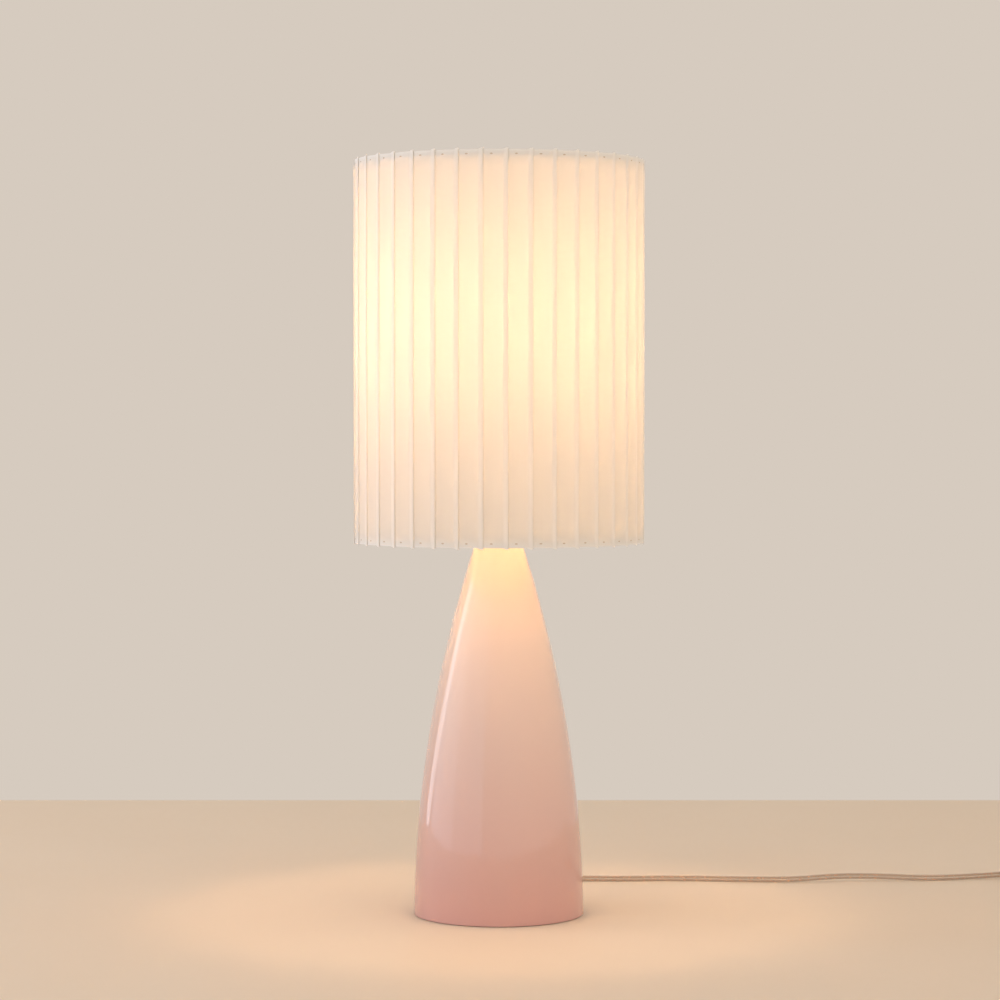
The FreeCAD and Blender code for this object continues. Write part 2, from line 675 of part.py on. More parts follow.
def globe():
    """A straight collar, a cone and then a ball that closes on the axis."""
    body = doc.addObject("PartDesign::Body", "bulb_globe")
    sketch = outline_sketch(body, "globe_outline")
    collar = add("sizes.bulb_cap_radius", "sizes.bulb_running_gap")
    collar_top = add("sizes.bulb_cap_height", "sizes.bulb_collar_height")
    middle = add("sizes.bulb_length", "-sizes.bulb_globe_radius")
    waist = "sqrt(sizes.bulb_globe_radius ^ 2 - sizes.bulb_waist_drop ^ 2)"
    outline = [("0", "sizes.bulb_cap_height"), (collar, "sizes.bulb_cap_height"), (collar, collar_top),
               (waist, add(middle, "-sizes.bulb_waist_drop")), ("0", "sizes.bulb_length")]
    corners = [FreeCAD.Vector(number(radius), number(height), 0) for radius, height in outline]
    centre = FreeCAD.Vector(0, number(middle), 0)
    circle = Part.Circle(centre, FreeCAD.Vector(0, 0, 1), number("sizes.bulb_globe_radius"))
    low = math.atan2(corners[3].y - centre.y, corners[3].x)
    for start, end in zip(corners[:3], corners[1:4]):
        sketch.addGeometry(Part.LineSegment(start, end))
    sketch.addGeometry(Part.ArcOfCircle(circle, low, math.pi / 2))
    sketch.addGeometry(Part.LineSegment(corners[4], corners[0]))
    for index in range(len(outline)):
        sketch.addConstraint(Sketcher.Constraint("Coincident", index, 2, (index + 1) % len(outline), 1))
        pin_point(sketch, index, 1, *outline[index])
    set_radius(sketch, 3, "sizes.bulb_globe_radius")
    return revolve(body, sketch)


keep("bulb_globe", place(globe(), up=BULB_FOOT))


# Shade: one zigzag sheet whose folds stand at even angles, all the way round
def pleated_face():
    """The sheet's plan: each panel runs out to a sharp fold, then tucks back under itself."""
    outer = number("sizes.shade_radius")
    thickness = number("sizes.fabric_thickness")
    fold_radius = outer - thickness / 2
    tuck_radius = outer - number("sizes.pleat_depth") + thickness / 2
    count = int(round(number("sizes.pleat_count")))
    tuck_angle = number("sizes.pleat_tuck") / outer
    first = math.radians(number("sizes.first_fold_angle") - FULL_TURN / 4)
    line = []
    for index in range(count):
        angle = first + 2 * math.pi * index / count
        for radius, at in ((fold_radius, angle), (tuck_radius, angle - tuck_angle)):
            line.append(FreeCAD.Vector(radius * math.cos(at), radius * math.sin(at), 0))
    faces = [Part.Face(Part.makePolygon(offset + offset[:1]))
             for offset in (beside(line, thickness / 2), beside(line, -thickness / 2))]
    return faces[0].cut(faces[1])


def beside(line, distance):
    """A closed line's corners moved sideways, so that each edge shifts by the distance."""
    moved = []
    for before, corner, after in zip(line[-1:] + line[:-1], line, line[1:] + line[:1]):
        come = (corner - before).normalize()
        leave = (after - corner).normalize()
        come_side = FreeCAD.Vector(come.y, -come.x, 0)
        leave_side = FreeCAD.Vector(leave.y, -leave.x, 0)
        moved.append(corner + (come_side + leave_side) * (distance / (1 + come_side.dot(leave_side))))
    return moved


fabric = pleated_face()
fabric.translate(FreeCAD.Vector(0, 0, number(SHADE_FOOT)))
shaped("shade_fabric", fabric.extrude(FreeCAD.Vector(0, 0, number("sizes.shade_height"))))

TOP_RING_LEVEL = add(SHADE_TOP, "-sizes.ring_inset")
for edge, hem_foot, ring_level in (
        ("top", add(SHADE_TOP, "-sizes.hem_height"), TOP_RING_LEVEL),
        ("bottom", SHADE_FOOT, add(SHADE_FOOT, "sizes.ring_inset"))):
    hem = ring(edge + "_hem", add(HEM_RADIUS, "-sizes.hem_thickness"), HEM_RADIUS, "sizes.hem_height")
    keep(edge + "_hem", place(hem, up=hem_foot))
    wire_ring = doc.addObject("Part::Torus", edge + "_ring")
    bind(wire_ring, Radius1=RING_RADIUS, Radius2="sizes.ring_wire_radius")
    keep(edge + "_ring", place(wire_ring, up=ring_level))

spider_hub = ring("spider_hub", STUD_HOLE, "sizes.hub_radius", "sizes.hub_thickness")
keep("spider_hub", place(spider_hub, up=HUB_FOOT))
doc.recompute()


def spider_arm(angle):
    """A straight wire from the hub's rim up to the top ring, cut flush with both."""
    toward = FreeCAD.Vector(math.cos(math.radians(angle)), math.sin(math.radians(angle)), 0)
    up = FreeCAD.Vector(0, 0, 1)
    start = toward * number("sizes.hub_radius") + up * number(add(HUB_FOOT, "sizes.hub_thickness / 2"))
    end = toward * number(RING_RADIUS) + up * number(TOP_RING_LEVEL)
    arm = Part.makeCylinder(number("sizes.spider_wire_radius"), (end - start).Length, start, end - start)
    for item in (spider_hub, doc.getObject("top_ring")):
        arm = arm.cut(item.Shape)
    return max(arm.Solids, key=lambda solid: solid.Volume)


shaped("spider_arms", Part.makeCompound([spider_arm(angle) for angle in SPIDER_ANGLES]))

# Finial: a threaded insert on the stud and a turned knob over it
INSERT_TOP = add(FINIAL_FOOT, "sizes.insert_height")
KNOB_BORE = add("sizes.insert_radius", "sizes.running_gap")
BORE_TOP = add(INSERT_TOP, "sizes.running_gap")
finial_insert = ring("finial_insert", STUD_HOLE, "sizes.insert_radius", "sizes.insert_height")
keep("finial_insert", place(finial_insert, up=FINIAL_FOOT))
finial_knob = turned("finial_knob", [
    (KNOB_BORE, FINIAL_FOOT),
    ("sizes.finial_radius", FINIAL_FOOT),
    ("sizes.finial_radius", add(FINIAL_FOOT, "sizes.finial_height / 6")),
    (add(KNOB_BORE, "sizes.hub_thickness / 2"), add(FINIAL_FOOT, "sizes.finial_height / 3")),
    ("sizes.finial_radius", add(FINIAL_FOOT, "2 * sizes.finial_height / 3")),
    ("2 * sizes.finial_radius / 3", add(FINIAL_FOOT, "11 * sizes.finial_height / 12")),
    ("0", add(FINIAL_FOOT, "sizes.finial_height")),
    ("0", BORE_TOP),
    (KNOB_BORE, BORE_TOP),
])
keep("finial_knob", finial_knob)


# Cord: a tube on the route, whose arcs are as large as its runs allow
def cord_wire():
    points = [FreeCAD.Vector(*point) for point in CORD_ROUTE]
    radii = []
    for before, corner, after in zip(points, points[1:], points[2:]):
        run = min((corner - before).Length, (after - corner).Length)
        turn = (corner - before).getAngle(after - corner)
        radii.append(ARC_SHARE * run / math.tan(turn / 2))
    print("cord arc radii", [round(radius, 1) for radius in radii])
    return rounded_wire(points, radii)


cord_line = cord_wire()
shaped("cord_run", tube(cord_line, cord_radius))

# Coil: the cord lies in a spiral inwards and out again one layer up
coil_start = FreeCAD.Vector(*CORD_ROUTE[-1]) + FreeCAD.Vector(number("sizes.cord_diameter"), 0, 0)
coil_pitch = number("sizes.coil_pitch")
coil_outer = number("sizes.coil_inner_radius") + coil_pitch * COIL_TURNS / 2
coil_centre = coil_start - FreeCAD.Vector(0, coil_outer, 0)


def coil_point(turns):
    """The coil's middle line after a number of turns, clockwise from its rear side."""
    from_middle = turns - COIL_TURNS / 2
    radius = number("sizes.coil_inner_radius") + coil_pitch * abs(from_middle)
    climb = min(max(2 * from_middle + 0.5, 0.0), 1.0)
    level = number("sizes.coil_layer_step") * climb * climb * (3 - 2 * climb)
    angle = 2 * math.pi * turns
    return coil_centre + FreeCAD.Vector(radius * math.sin(angle), radius * math.cos(angle), level)


def coil_tangent(turns):
    if turns in (0, COIL_TURNS):
        across = coil_point(turns) - coil_centre
        return FreeCAD.Vector(across.y, -across.x, 0).normalize()
    step = 0.001
    return (coil_point(turns + step) - coil_point(turns - step)).normalize()


def biarc(start, start_way, end, end_way):
    """Two arcs that leave one point and reach another along given directions."""
    chord = end - start
    ways = start_way + end_way
    bend = 2 * (1 - start_way.dot(end_way))
    reach = (-chord.dot(ways) + math.sqrt(chord.dot(ways) ** 2 + bend * chord.dot(chord))) / bend
    joint = (start + end + (start_way - end_way) * reach) * 0.5
    arcs = []
    for first, corner, last in ((start, start + start_way * reach, joint),
                                (joint, end - end_way * reach, end)):
        middle = (first + last) * 0.5
        half = (last - first).Length / 2
        half_turn = math.atan2((corner - middle).Length, half)
        share = math.tan(half_turn / 2) / math.tan(half_turn)
        arcs.append(three_point_arc(first, middle + (corner - middle) * share, last))
    return arcs


def coil_wire():
    straight = number("sizes.cord_diameter")
    stations = [quarter / 4 for quarter in range(int(4 * COIL_TURNS) + 1)]
    edges = [Part.LineSegment(FreeCAD.Vector(*CORD_ROUTE[-1]), coil_start).toShape()]
    for before, after in zip(stations, stations[1:]):
        edges += biarc(coil_point(before), coil_tangent(before), coil_point(after), coil_tangent(after))
    last = coil_point(COIL_TURNS)
    edges.append(Part.LineSegment(last, last + coil_tangent(COIL_TURNS) * straight).toShape())
    return Part.Wire(edges)


def least_gap(wire, width):
    """The smallest space between turns, on points along the wire a fifth of a width apart."""
    count = int(5 * wire.Length / width)
    points = wire.discretize(Number=count)
    spacing = wire.Length / (count - 1)
    apart = int(math.pi * width / spacing)
    gaps = [points[early].distanceToPoint(points[late])
            for early in range(count) for late in range(early + apart, count)]
    return min(gaps) - width


coil_line = coil_wire()
print("coil least gap to itself %.2f mm" % least_gap(coil_line, number("sizes.cord_diameter")))
print("cord length %.1f mm" % (cord_line.Length + coil_line.Length))
shaped("cord_coil", tube(coil_line, cord_radius))

# Tie: a strap round the bundle, on the coil's left
tie_clear = number("sizes.tie_clearance")
tie_wall = number("sizes.tie_thickness")
tie_width = number("sizes.tie_width")
bundle_left = coil_centre.x - coil_outer - cord_radius - tie_clear
bundle_width = coil_outer - number("sizes.coil_inner_radius") + 2 * cord_radius + 3 * tie_clear
bundle_top = coil_start.z + number("sizes.coil_layer_step") + cord_radius + tie_clear
tie_front = coil_centre.y - tie_width / 2
strap_hole = Part.makeBox(bundle_width, tie_width, bundle_top - tie_wall,
                          FreeCAD.Vector(bundle_left, tie_front, tie_wall))
strap = Part.makeBox(bundle_width + 2 * tie_wall, tie_width, bundle_top + tie_wall,
                     FreeCAD.Vector(bundle_left - tie_wall, tie_front, 0))
shaped("cord_tie", strap.cut(strap_hole))

# Plug: a moulded body that lies beside the coil, with its relief and two blades
cord_end = coil_line.OrderedVertexes[-1].Point
plug_half = cord_end.z
plug_relief = turned("plug_relief", [
    ("0", "0"),
    (add(CORD_RADIUS, "sizes.relief_end_wall"), "0"),
    ("sizes.plug_relief_radius", "sizes.plug_relief_length"),
    ("0", "sizes.plug_relief_length"),
])
plug_relief.Placement = FreeCAD.Placement(cord_end, along_front())
plug_block = doc.addObject("Part::Box", "plug_block")
bind(plug_block, Length="sizes.plug_width", Width="sizes.plug_length")
plug_block.Height = 2 * plug_half
block_front = cord_end.y - number("sizes.plug_relief_length") - number("sizes.plug_length")
plug_block.Placement.Base = FreeCAD.Vector(cord_end.x - number("sizes.plug_width") / 2, block_front, 0)
doc.recompute()
plug_rounded = doc.addObject("Part::Fillet", "plug_rounded")
plug_rounded.Base = plug_block
corner_radius = number("sizes.plug_corner_radius")
plug_rounded.Edges = [(index, corner_radius, corner_radius)
                      for index, edge in enumerate(plug_block.Shape.Edges, start=1)
                      if abs(edge.tangentAt(edge.FirstParameter).y) > 0.5]
keep("plug_body", fuse("plug_body", plug_relief, plug_rounded))

blades = []
for side in (-1, 1):
    blade_left = cord_end.x + side * number("sizes.blade_spacing") / 2 - number("sizes.blade_thickness") / 2
    blades.append(Part.makeBox(
        number("sizes.blade_thickness"), number("sizes.blade_length"), number("sizes.blade_width"),
        FreeCAD.Vector(blade_left, block_front - number("sizes.blade_length"),
                       plug_half - number("sizes.blade_width") / 2)))
shaped("plug_blades", Part.makeCompound(blades))

# Check every object, then write the sub-parts
doc.recompute()
for item in doc.Objects:
    faults = [state for state in item.State if state in ("Invalid", "Error")]
    if faults:
        raise RuntimeError("%s is %s" % (item.Label, ", ".join(faults)))
os.makedirs("parts", exist_ok=True)
for item in subparts:
    if item.Shape.isNull() or not item.Shape.isValid():
        raise RuntimeError("%s has no valid shape" % item.Label)
for item in subparts:
    item.Shape.exportStep("parts/%s.step" % item.Label)
print("%d sub-parts written" % len(subparts))
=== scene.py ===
import math

import bpy
import numpy as np
from mathutils import Matrix, Vector


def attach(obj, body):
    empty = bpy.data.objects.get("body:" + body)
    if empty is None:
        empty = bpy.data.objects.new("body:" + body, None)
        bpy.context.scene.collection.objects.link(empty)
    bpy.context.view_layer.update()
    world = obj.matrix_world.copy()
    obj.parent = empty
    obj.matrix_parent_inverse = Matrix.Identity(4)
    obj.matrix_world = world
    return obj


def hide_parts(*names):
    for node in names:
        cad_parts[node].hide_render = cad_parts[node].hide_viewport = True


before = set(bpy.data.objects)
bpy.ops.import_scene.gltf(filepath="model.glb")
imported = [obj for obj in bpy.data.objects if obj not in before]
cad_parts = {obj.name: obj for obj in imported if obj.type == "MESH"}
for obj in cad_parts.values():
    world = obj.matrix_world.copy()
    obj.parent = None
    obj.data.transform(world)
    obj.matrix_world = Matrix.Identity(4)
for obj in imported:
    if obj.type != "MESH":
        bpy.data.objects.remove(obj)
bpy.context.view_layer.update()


# Foot: a pressed steel pan under the glass, an iron ring that lies in it and a pad below them.
# The pan is black enamel, the ring is left as cast, and the pad is pressed wool felt, glued on.
def linear(code):
    """An sRGB hex colour as linear red, green, blue and alpha."""
    parts = np.array([int(code[start:start + 2], 16) for start in (1, 3, 5)]) / 255
    light = np.where(parts <= 0.04045, parts / 12.92, ((parts + 0.055) / 1.055) ** 2.4)
    return [*light.tolist(), 1.0]


def add_node(material, kind, inputs, **settings):
    """Add a node with its settings; each named or numbered input takes a value or another's output."""
    node = material.node_tree.nodes.new(kind)
    for name, setting in settings.items():
        setattr(node, name, setting)
    for name, given in inputs.items():
        if isinstance(given, bpy.types.NodeSocket):
            material.node_tree.links.new(given, node.inputs[name])
        else:
            node.inputs[name].default_value = given
    return node


def blank_material(name):
    material = bpy.data.materials.new(name)
    material.use_nodes = True
    material.node_tree.nodes.clear()
    return material


def grained(name, low, high, grain, depth, rough, stretch=(1, 1, 1), sockets={}):
    """A finish whose colour wanders between two hex colours in patches of a grain size in metres.
    The same noise moves the roughness between two values and raises bumps of a depth in metres."""
    material = blank_material(name)
    place = add_node(material, "ShaderNodeTexCoord", {})
    scaled = add_node(material, "ShaderNodeMapping",
                      {"Vector": place.outputs["Object"], "Scale": [share / grain for share in stretch]})
    noise = add_node(material, "ShaderNodeTexNoise",
                     {"Vector": scaled.outputs[0], "Scale": 1.0, "Detail": 5.0})
    colour = add_node(material, "ShaderNodeMix",
                      {0: noise.outputs[0], 6: linear(low), 7: linear(high)}, data_type="RGBA")
    roughness = add_node(material, "ShaderNodeMapRange",
                         {"Value": noise.outputs[0], "To Min": rough[0], "To Max": rough[1]})
    bump = add_node(material, "ShaderNodeBump", {"Height": noise.outputs[0], "Distance": depth})
    shader = add_node(material, "ShaderNodeBsdfPrincipled",
                      {"Base Color": colour.outputs[2], "Roughness": roughness.outputs[0],
                       "Normal": bump.outputs[0], **sockets})
    add_node(material, "ShaderNodeOutputMaterial", {"Surface": shader.outputs[0]})
    return material


def dress(material, *names):
    """Give CAD nodes this material in place of their plain colour."""
    for name in names:
        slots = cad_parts[name].data.materials
        slots.clear()
        slots.append(material)


# Wool felt is matte and fuzzy, enamel is smooth and fairly glossy, and cast iron is rough and dull.
wool_felt = grained("pressed_wool_felt", "#2A2420", "#423A34", grain=0.0015, depth=0.0003,
                    rough=(0.9, 1.0), sockets={"Sheen Weight": 0.5, "Sheen Roughness": 0.6})
black_enamel = grained("black_enamel_on_steel", "#1F1814", "#30261F", grain=0.006, depth=0.00002,
                       rough=(0.25, 0.4), sockets={"Coat Weight": 0.3})
cast_iron = grained("cast_iron", "#2F2F31", "#4A4745", grain=0.003, depth=0.0004,
                    rough=(0.6, 0.85), sockets={"Metallic": 0.8})
dress(wool_felt, "felt_pad")
dress(black_enamel, "base_pan")
dress(cast_iron, "ballast_ring")


# Glass: a blown cone of pink glass cased over white, its foot and neck ground flat and fire polished.
# It stands on the pan's rim with a narrow lip round it, and the rod through its neck holds it down.
foot_radius = 0.0752
neck_radius = 0.0197
foot_level = 0.0016
neck_level = 0.330
side_radius = 1.078
glass_wall = 0.004
lip_width = 0.0014
lip_level = 0.0004
polished_edge = 0.0006
sharp_edge = math.radians(40)


def glass_side(radius):
    """Points up the side: an arc about the centre of the outer arc, which passes through the foot
    and the neck, between the levels of the foot and the neck."""
    foot = np.array([foot_radius, foot_level])
    neck = np.array([neck_radius, neck_level])
    chord = neck - foot
    half = np.linalg.norm(chord) / 2
    inward = np.array([-chord[1], chord[0]]) / (2 * half)
    centre = (foot + neck) / 2 + inward * math.sqrt(side_radius ** 2 - half ** 2)
    low, high = np.arcsin((np.array([foot_level, neck_level]) - centre[1]) / radius)
    turn = np.linspace(low, high, 64)
    return np.stack([centre[0] + radius * np.cos(turn), centre[1] + radius * np.sin(turn)], axis=1)


def carried_round(profile, steps):
    """A closed profile of radius and level carried round Z: point = (r cos a, r sin a, level)."""
    turn = np.linspace(0, 2 * np.pi, steps, endpoint=False)
    radius, level = np.transpose(profile)
    return np.stack([np.outer(radius, np.cos(turn)), np.outer(radius, np.sin(turn)),
                     np.outer(level, np.ones(steps))], axis=-1)


def skin(name, points, material, body, closed=True, uv=None):
    """A mesh over grids of points: four neighbours make a face, and each row closes on itself.
    The last row joins the first if closed, and otherwise both end rows get a flat cap.
    uv gives a length for each column and each row, with one more for the way round."""
    rows, columns = points.shape[-3:-1]
    copies = points.reshape(-1, rows, columns, 3)
    index = np.arange(copies.size // 3).reshape(copies.shape[:3])
    after = np.roll(index, -1, axis=1) if closed else index[:, 1:]
    here = index[:, :after.shape[1]]
    corners = [here, np.roll(here, -1, axis=2), np.roll(after, -1, axis=2), after]
    faces = np.stack(corners, axis=-1).reshape(-1, 4)
    flat = copies.reshape(-1, 3)
    first, second, third, fourth = (flat[faces[:, corner]] for corner in range(4))
    volume = np.einsum("ij,ij->", first, np.cross(second, third) + np.cross(third, fourth))
    outward = slice(None) if volume > 0 else slice(None, None, -1)
    loops = faces[:, outward].tolist()
    if not closed:
        for end, turned in ((index[:, 0], slice(None, None, -1)), (index[:, -1], slice(None))):
            loops += end[:, turned][:, outward].tolist()
    mesh = bpy.data.meshes.new(name)
    mesh.from_pydata(flat, [], loops)
    if uv is not None:
        across, up = uv
        column = np.arange(columns)
        row = np.arange(after.shape[1])
        u = np.stack([across[column], across[column + 1], across[column + 1], across[column]], axis=-1)
        v = np.stack([up[row], up[row], up[row + 1], up[row + 1]], axis=-1)
        both = np.stack(np.broadcast_arrays(u[None, :], v[:, None]), axis=-1)
        both = both[:, :, outward].reshape(-1, 2)
        lengths = np.zeros((len(mesh.loops), 2))
        lengths[:len(copies) * len(both)] = np.tile(both, (len(copies), 1))
        mesh.uv_layers.new(name="lengths").data.foreach_set("uv", lengths.ravel())
    mesh.polygons.foreach_set("use_smooth", np.ones(len(mesh.polygons), bool))
    mesh.set_sharp_from_angle(angle=sharp_edge)
    mesh.materials.append(material)
    piece = bpy.data.objects.new(name, mesh)
    bpy.context.scene.collection.objects.link(piece)
    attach(piece, body)
    return piece


# Cased glass is opaque and glossy under a clear skin. It is drawn paler as it rises and deeper pink at
# the foot:
# painted light from the lamp's glow on its upper part and painted shade at the foot, with soft upright
# streaks from blowing and a slow ripple in its gloss.
streak_width = 0.05
streak_length = 0.25
painted_glow_level = 0.75 * neck_level
pink_glass = blank_material("pink_cased_glass")
glass_place = add_node(pink_glass, "ShaderNodeTexCoord", {})
glass_spot = add_node(pink_glass, "ShaderNodeSeparateXYZ", {0: glass_place.outputs["Object"]})
streak_place = add_node(pink_glass, "ShaderNodeMapping",
                        {"Vector": glass_place.outputs["Object"],
                         "Scale": [1 / streak_width, 1 / streak_width, 1 / streak_length]})
streak = add_node(pink_glass, "ShaderNodeTexNoise",
                  {"Vector": streak_place.outputs[0], "Scale": 1.0, "Detail": 1.0})
# Painted light and shade: the pink pales from the foot up to three quarters of the neck's level, for the
# lamp's glow above and shade at the foot.
painted_glow_rise = add_node(pink_glass, "ShaderNodeMapRange",
                    {"Value": glass_spot.outputs[2], "From Min": foot_level, "From Max": painted_glow_level,
                     "To Min": -0.05, "To Max": 0.95})
streaks_and_painted_glow = add_node(pink_glass, "ShaderNodeMath",
                    {0: streak.outputs[0], 1: 0.1, 2: painted_glow_rise.outputs[0]}, operation="MULTIPLY_ADD")
glass_colour = add_node(pink_glass, "ShaderNodeMix",
                        {0: streaks_and_painted_glow.outputs[0], 6: linear("#CE9E97"), 7: linear("#E2CDC1")},
                        data_type="RGBA")
gloss = add_node(pink_glass, "ShaderNodeMapRange",
                 {"Value": streak.outputs[0], "To Min": 0.03, "To Max": 0.07})
ripple = add_node(pink_glass, "ShaderNodeBump", {"Height": streak.outputs[0], "Distance": 0.00012})
glass_shader = add_node(pink_glass, "ShaderNodeBsdfPrincipled",
                        {"Base Color": glass_colour.outputs[2], "Roughness": gloss.outputs[0],
                         "Normal": ripple.outputs[0], "IOR": 1.5, "Coat Weight": 0.4,
                         "Coat Roughness": 0.03})
add_node(pink_glass, "ShaderNodeOutputMaterial", {"Surface": glass_shader.outputs[0]})
glass_lip = [(foot_radius - lip_width, foot_level), (foot_radius - lip_width, lip_level),
             (foot_radius, lip_level)]
glass_profile = np.vstack([glass_side(side_radius), glass_side(side_radius - glass_wall)[::-1],
                           glass_lip])
glass_cone = skin("glass_cone", carried_round(glass_profile, 256), pink_glass, "lamp")
polish = glass_cone.modifiers.new("fire_polish", "BEVEL")
polish.width = polished_edge
polish.segments = 4
polish.limit_method = "ANGLE"
polish.angle_limit = sharp_edge
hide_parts("glass_base")


# Rod and neck: a hollow threaded rod with a washer and nut clamps the foot, glass and neck together.
# A rubber ring and a spun brass cap close the glass, and a brass tube lifts the lampholder.
zinc_plate = grained("zinc_plated_steel", "#8E9296", "#A9ACB0", grain=0.002, depth=0.00001,
                     rough=(0.3, 0.45), sockets={"Metallic": 1.0})
black_rubber = grained("black_rubber", "#161616", "#232323", grain=0.001, depth=0.00003,
                       rough=(0.7, 0.9))
# Satin brass has fine turned lines that run round each piece, so its grain is short along Z.
satin_brass = grained("satin_brass", "#A67E3C", "#BD9652", grain=0.006, depth=0.00001,
                      rough=(0.26, 0.4), stretch=(1, 1, 12), sockets={"Metallic": 1.0})
dress(zinc_plate, "threaded_rod", "bottom_washer", "bottom_nut")
dress(black_rubber, "neck_gasket")
dress(satin_brass, "vase_cap", "neck_riser")


# Cord exit: a clear moulded bushing in the rear of the glass, whose ribbed taper bends with the cord.
# The twin lead inside it crosses the foot and climbs the hollow rod to the lampholder.
exit_level = 0.009
exit_rear = 0.0994
flex_lobe = 0.0014
wire_radius = 0.0008
bushing_bore = 0.0029
bushing_radius = 0.0048
bushing_front = 0.0710
flange_radius = 0.0070
flange_front = 0.0754
flange_rear = 0.0774
relief_end_radius = 0.0037


def carried_to_rear(profile, steps):
    """A closed profile of radius and distance carried round the cord's way out, along +Y."""
    upright = carried_round(profile, steps)
    return np.stack([upright[..., 0], upright[..., 2], exit_level - upright[..., 1]], axis=-1)


def ribbed_taper(start, end, wide, narrow, ribs, groove):
    """Points along a taper: its radius falls evenly, less a raised cosine for each groove."""
    share = np.linspace(0, 1, 12 * ribs + 1)
    dip = groove * (1 - np.cos(2 * np.pi * ribs * share)) / 2
    return np.stack([wide + (narrow - wide) * share - dip, start + (end - start) * share], axis=1)


def spline_points(control):
    """Points along a quadratic NURBS curve from the first control point to the last."""
    curve = bpy.data.curves.new("route", "CURVE")
    curve.dimensions = "3D"
    spline = curve.splines.new("NURBS")
    spline.points.add(len(control) - 1)
    spline.points.foreach_set("co", np.hstack([control, np.ones((len(control), 1))]).ravel())
    spline.order_u = 3
    spline.use_endpoint_u = True
    spline.resolution_u = 6
    bare = bpy.data.objects.new("route", curve)
    mesh = bpy.data.meshes.new_from_object(bare)
    points = np.empty(3 * len(mesh.vertices))
    mesh.vertices.foreach_get("co", points)
    bpy.data.objects.remove(bare)
    bpy.data.curves.remove(curve)
    bpy.data.meshes.remove(mesh)
    return points.reshape(-1, 3)


def along(path, outline, side=None):
    """A section carried along a path: point = path + across * side + up * rise. Side is level and
    square to the path unless it is given, and rise is square to both."""
    ahead = np.gradient(path, axis=0)
    ahead /= np.linalg.norm(ahead, axis=1)[:, None]
    if side is None:
        side = np.cross(ahead, [0, 0, 1])
        side /= np.linalg.norm(side, axis=1)[:, None]
    side = np.broadcast_to(side, ahead.shape)
    rise = np.cross(side, ahead)
    return path[:, None] + outline[None, :, :1] * side[:, None] + outline[None, :, 1:] * rise[:, None]


def circle(radius, steps, up=0.0):
    turn = np.linspace(0, 2 * np.pi, steps, endpoint=False)
    return np.stack([radius * np.cos(turn), up + radius * np.sin(turn)], axis=1)


def twin_outline():
    """Two round lobes, one over the other: each is most of a circle, and they meet in a narrow waist."""
    turn = np.radians(np.linspace(-50, 230, 13))
    upper = np.stack([flex_lobe * np.cos(turn), flex_lobe + flex_lobe * np.sin(turn)], axis=1)
    return np.vstack([upper, -upper])


def lengths_along(path):
    """How far along the path each point is, from zero, and one more at the end."""
    steps = np.linalg.norm(np.diff(path, axis=0), axis=1)
    along_path = np.concatenate([[0.0], np.cumsum(steps)])
    return np.append(along_path, along_path[-1])


def flex_and_wires(name, path, side=None):
    """A clear twin jacket on a path, and the two stranded wires inside its lobes."""
    jacket = skin(name, along(path, twin_outline(), side), clear_pvc, "lamp",
                  closed=False)
    strands = np.stack([along(path, circle(wire_radius, 10, up), side)
                        for up in (flex_lobe, -flex_lobe)])
    around = np.linspace(0, 2 * np.pi * wire_radius, 11)
    wires = skin(name + "_wires", strands, stranded_copper, "lamp", closed=False,
                 uv=(around, lengths_along(path)))
    return jacket, wires


# Clear soft PVC lets the wires show through and yellows a little; its gloss is soft from moulding.
clear_pvc = grained("clear_soft_pvc", "#D9CDBB", "#E4D9C8", grain=0.004, depth=0.00002,
                    rough=(0.12, 0.22), sockets={"Alpha": 0.36, "IOR": 1.53})

# Bare copper strands lie in a slow twist; each strand is 0.25 mm, and its stripes are drawn across UV.
stranded_copper = blank_material("stranded_copper")
strand_width = 0.00025
strand_lay = math.radians(20)
strand_place = add_node(stranded_copper, "ShaderNodeUVMap", {}, uv_map="lengths")
strand_turn = add_node(stranded_copper, "ShaderNodeMapping",
                       {"Vector": strand_place.outputs[0], "Rotation": [0, 0, strand_lay]})
strand_wave = add_node(stranded_copper, "ShaderNodeTexWave",
                       {"Vector": strand_turn.outputs[0], "Scale": math.pi / (10 * strand_width)})
# Painted shade and highlight: each stripe runs from dark copper between strands to light copper on their
# crowns.
strand_painted_shading = add_node(stranded_copper, "ShaderNodeMix",
                         {0: strand_wave.outputs[1], 6: linear("#A06844"), 7: linear("#E2AC84")},
                         data_type="RGBA")
strand_bump = add_node(stranded_copper, "ShaderNodeBump",
                       {"Height": strand_wave.outputs[1], "Distance": 0.0001})
strand_shader = add_node(stranded_copper, "ShaderNodeBsdfPrincipled",
                         {"Base Color": strand_painted_shading.outputs[2], "Metallic": 0.7, "Roughness": 0.35,
                          "Normal": strand_bump.outputs[0]})
add_node(stranded_copper, "ShaderNodeOutputMaterial", {"Surface": strand_shader.outputs[0]})

bushing_profile = np.vstack([
    [(bushing_bore, bushing_front), (bushing_radius, bushing_front), (bushing_radius, flange_front),
     (flange_radius, flange_front), (flange_radius, flange_rear)],
    ribbed_taper(flange_rear, exit_rear, bushing_radius, relief_end_radius, ribs=5, groove=0.0006),
    [(bushing_bore, exit_rear)]])
strain_relief = skin("strain_relief", carried_to_rear(bushing_profile, 48), clear_pvc, "lamp")
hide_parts("cord_bushing")

lead_route = np.array([
    (0.0, 0.0994, 0.009), (0.0, 0.050, 0.009), (0.0, 0.0202, 0.009), (0.0, 0.0, 0.009),
    (0.0, 0.0, 0.0292), (0.0, 0.0, 0.200), (0.0, 0.0, 0.4315)])
inner_flex, inner_wires = flex_and_wires("inner_flex", spline_points(lead_route), side=[-1, 0, 0])
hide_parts("inner_lead")


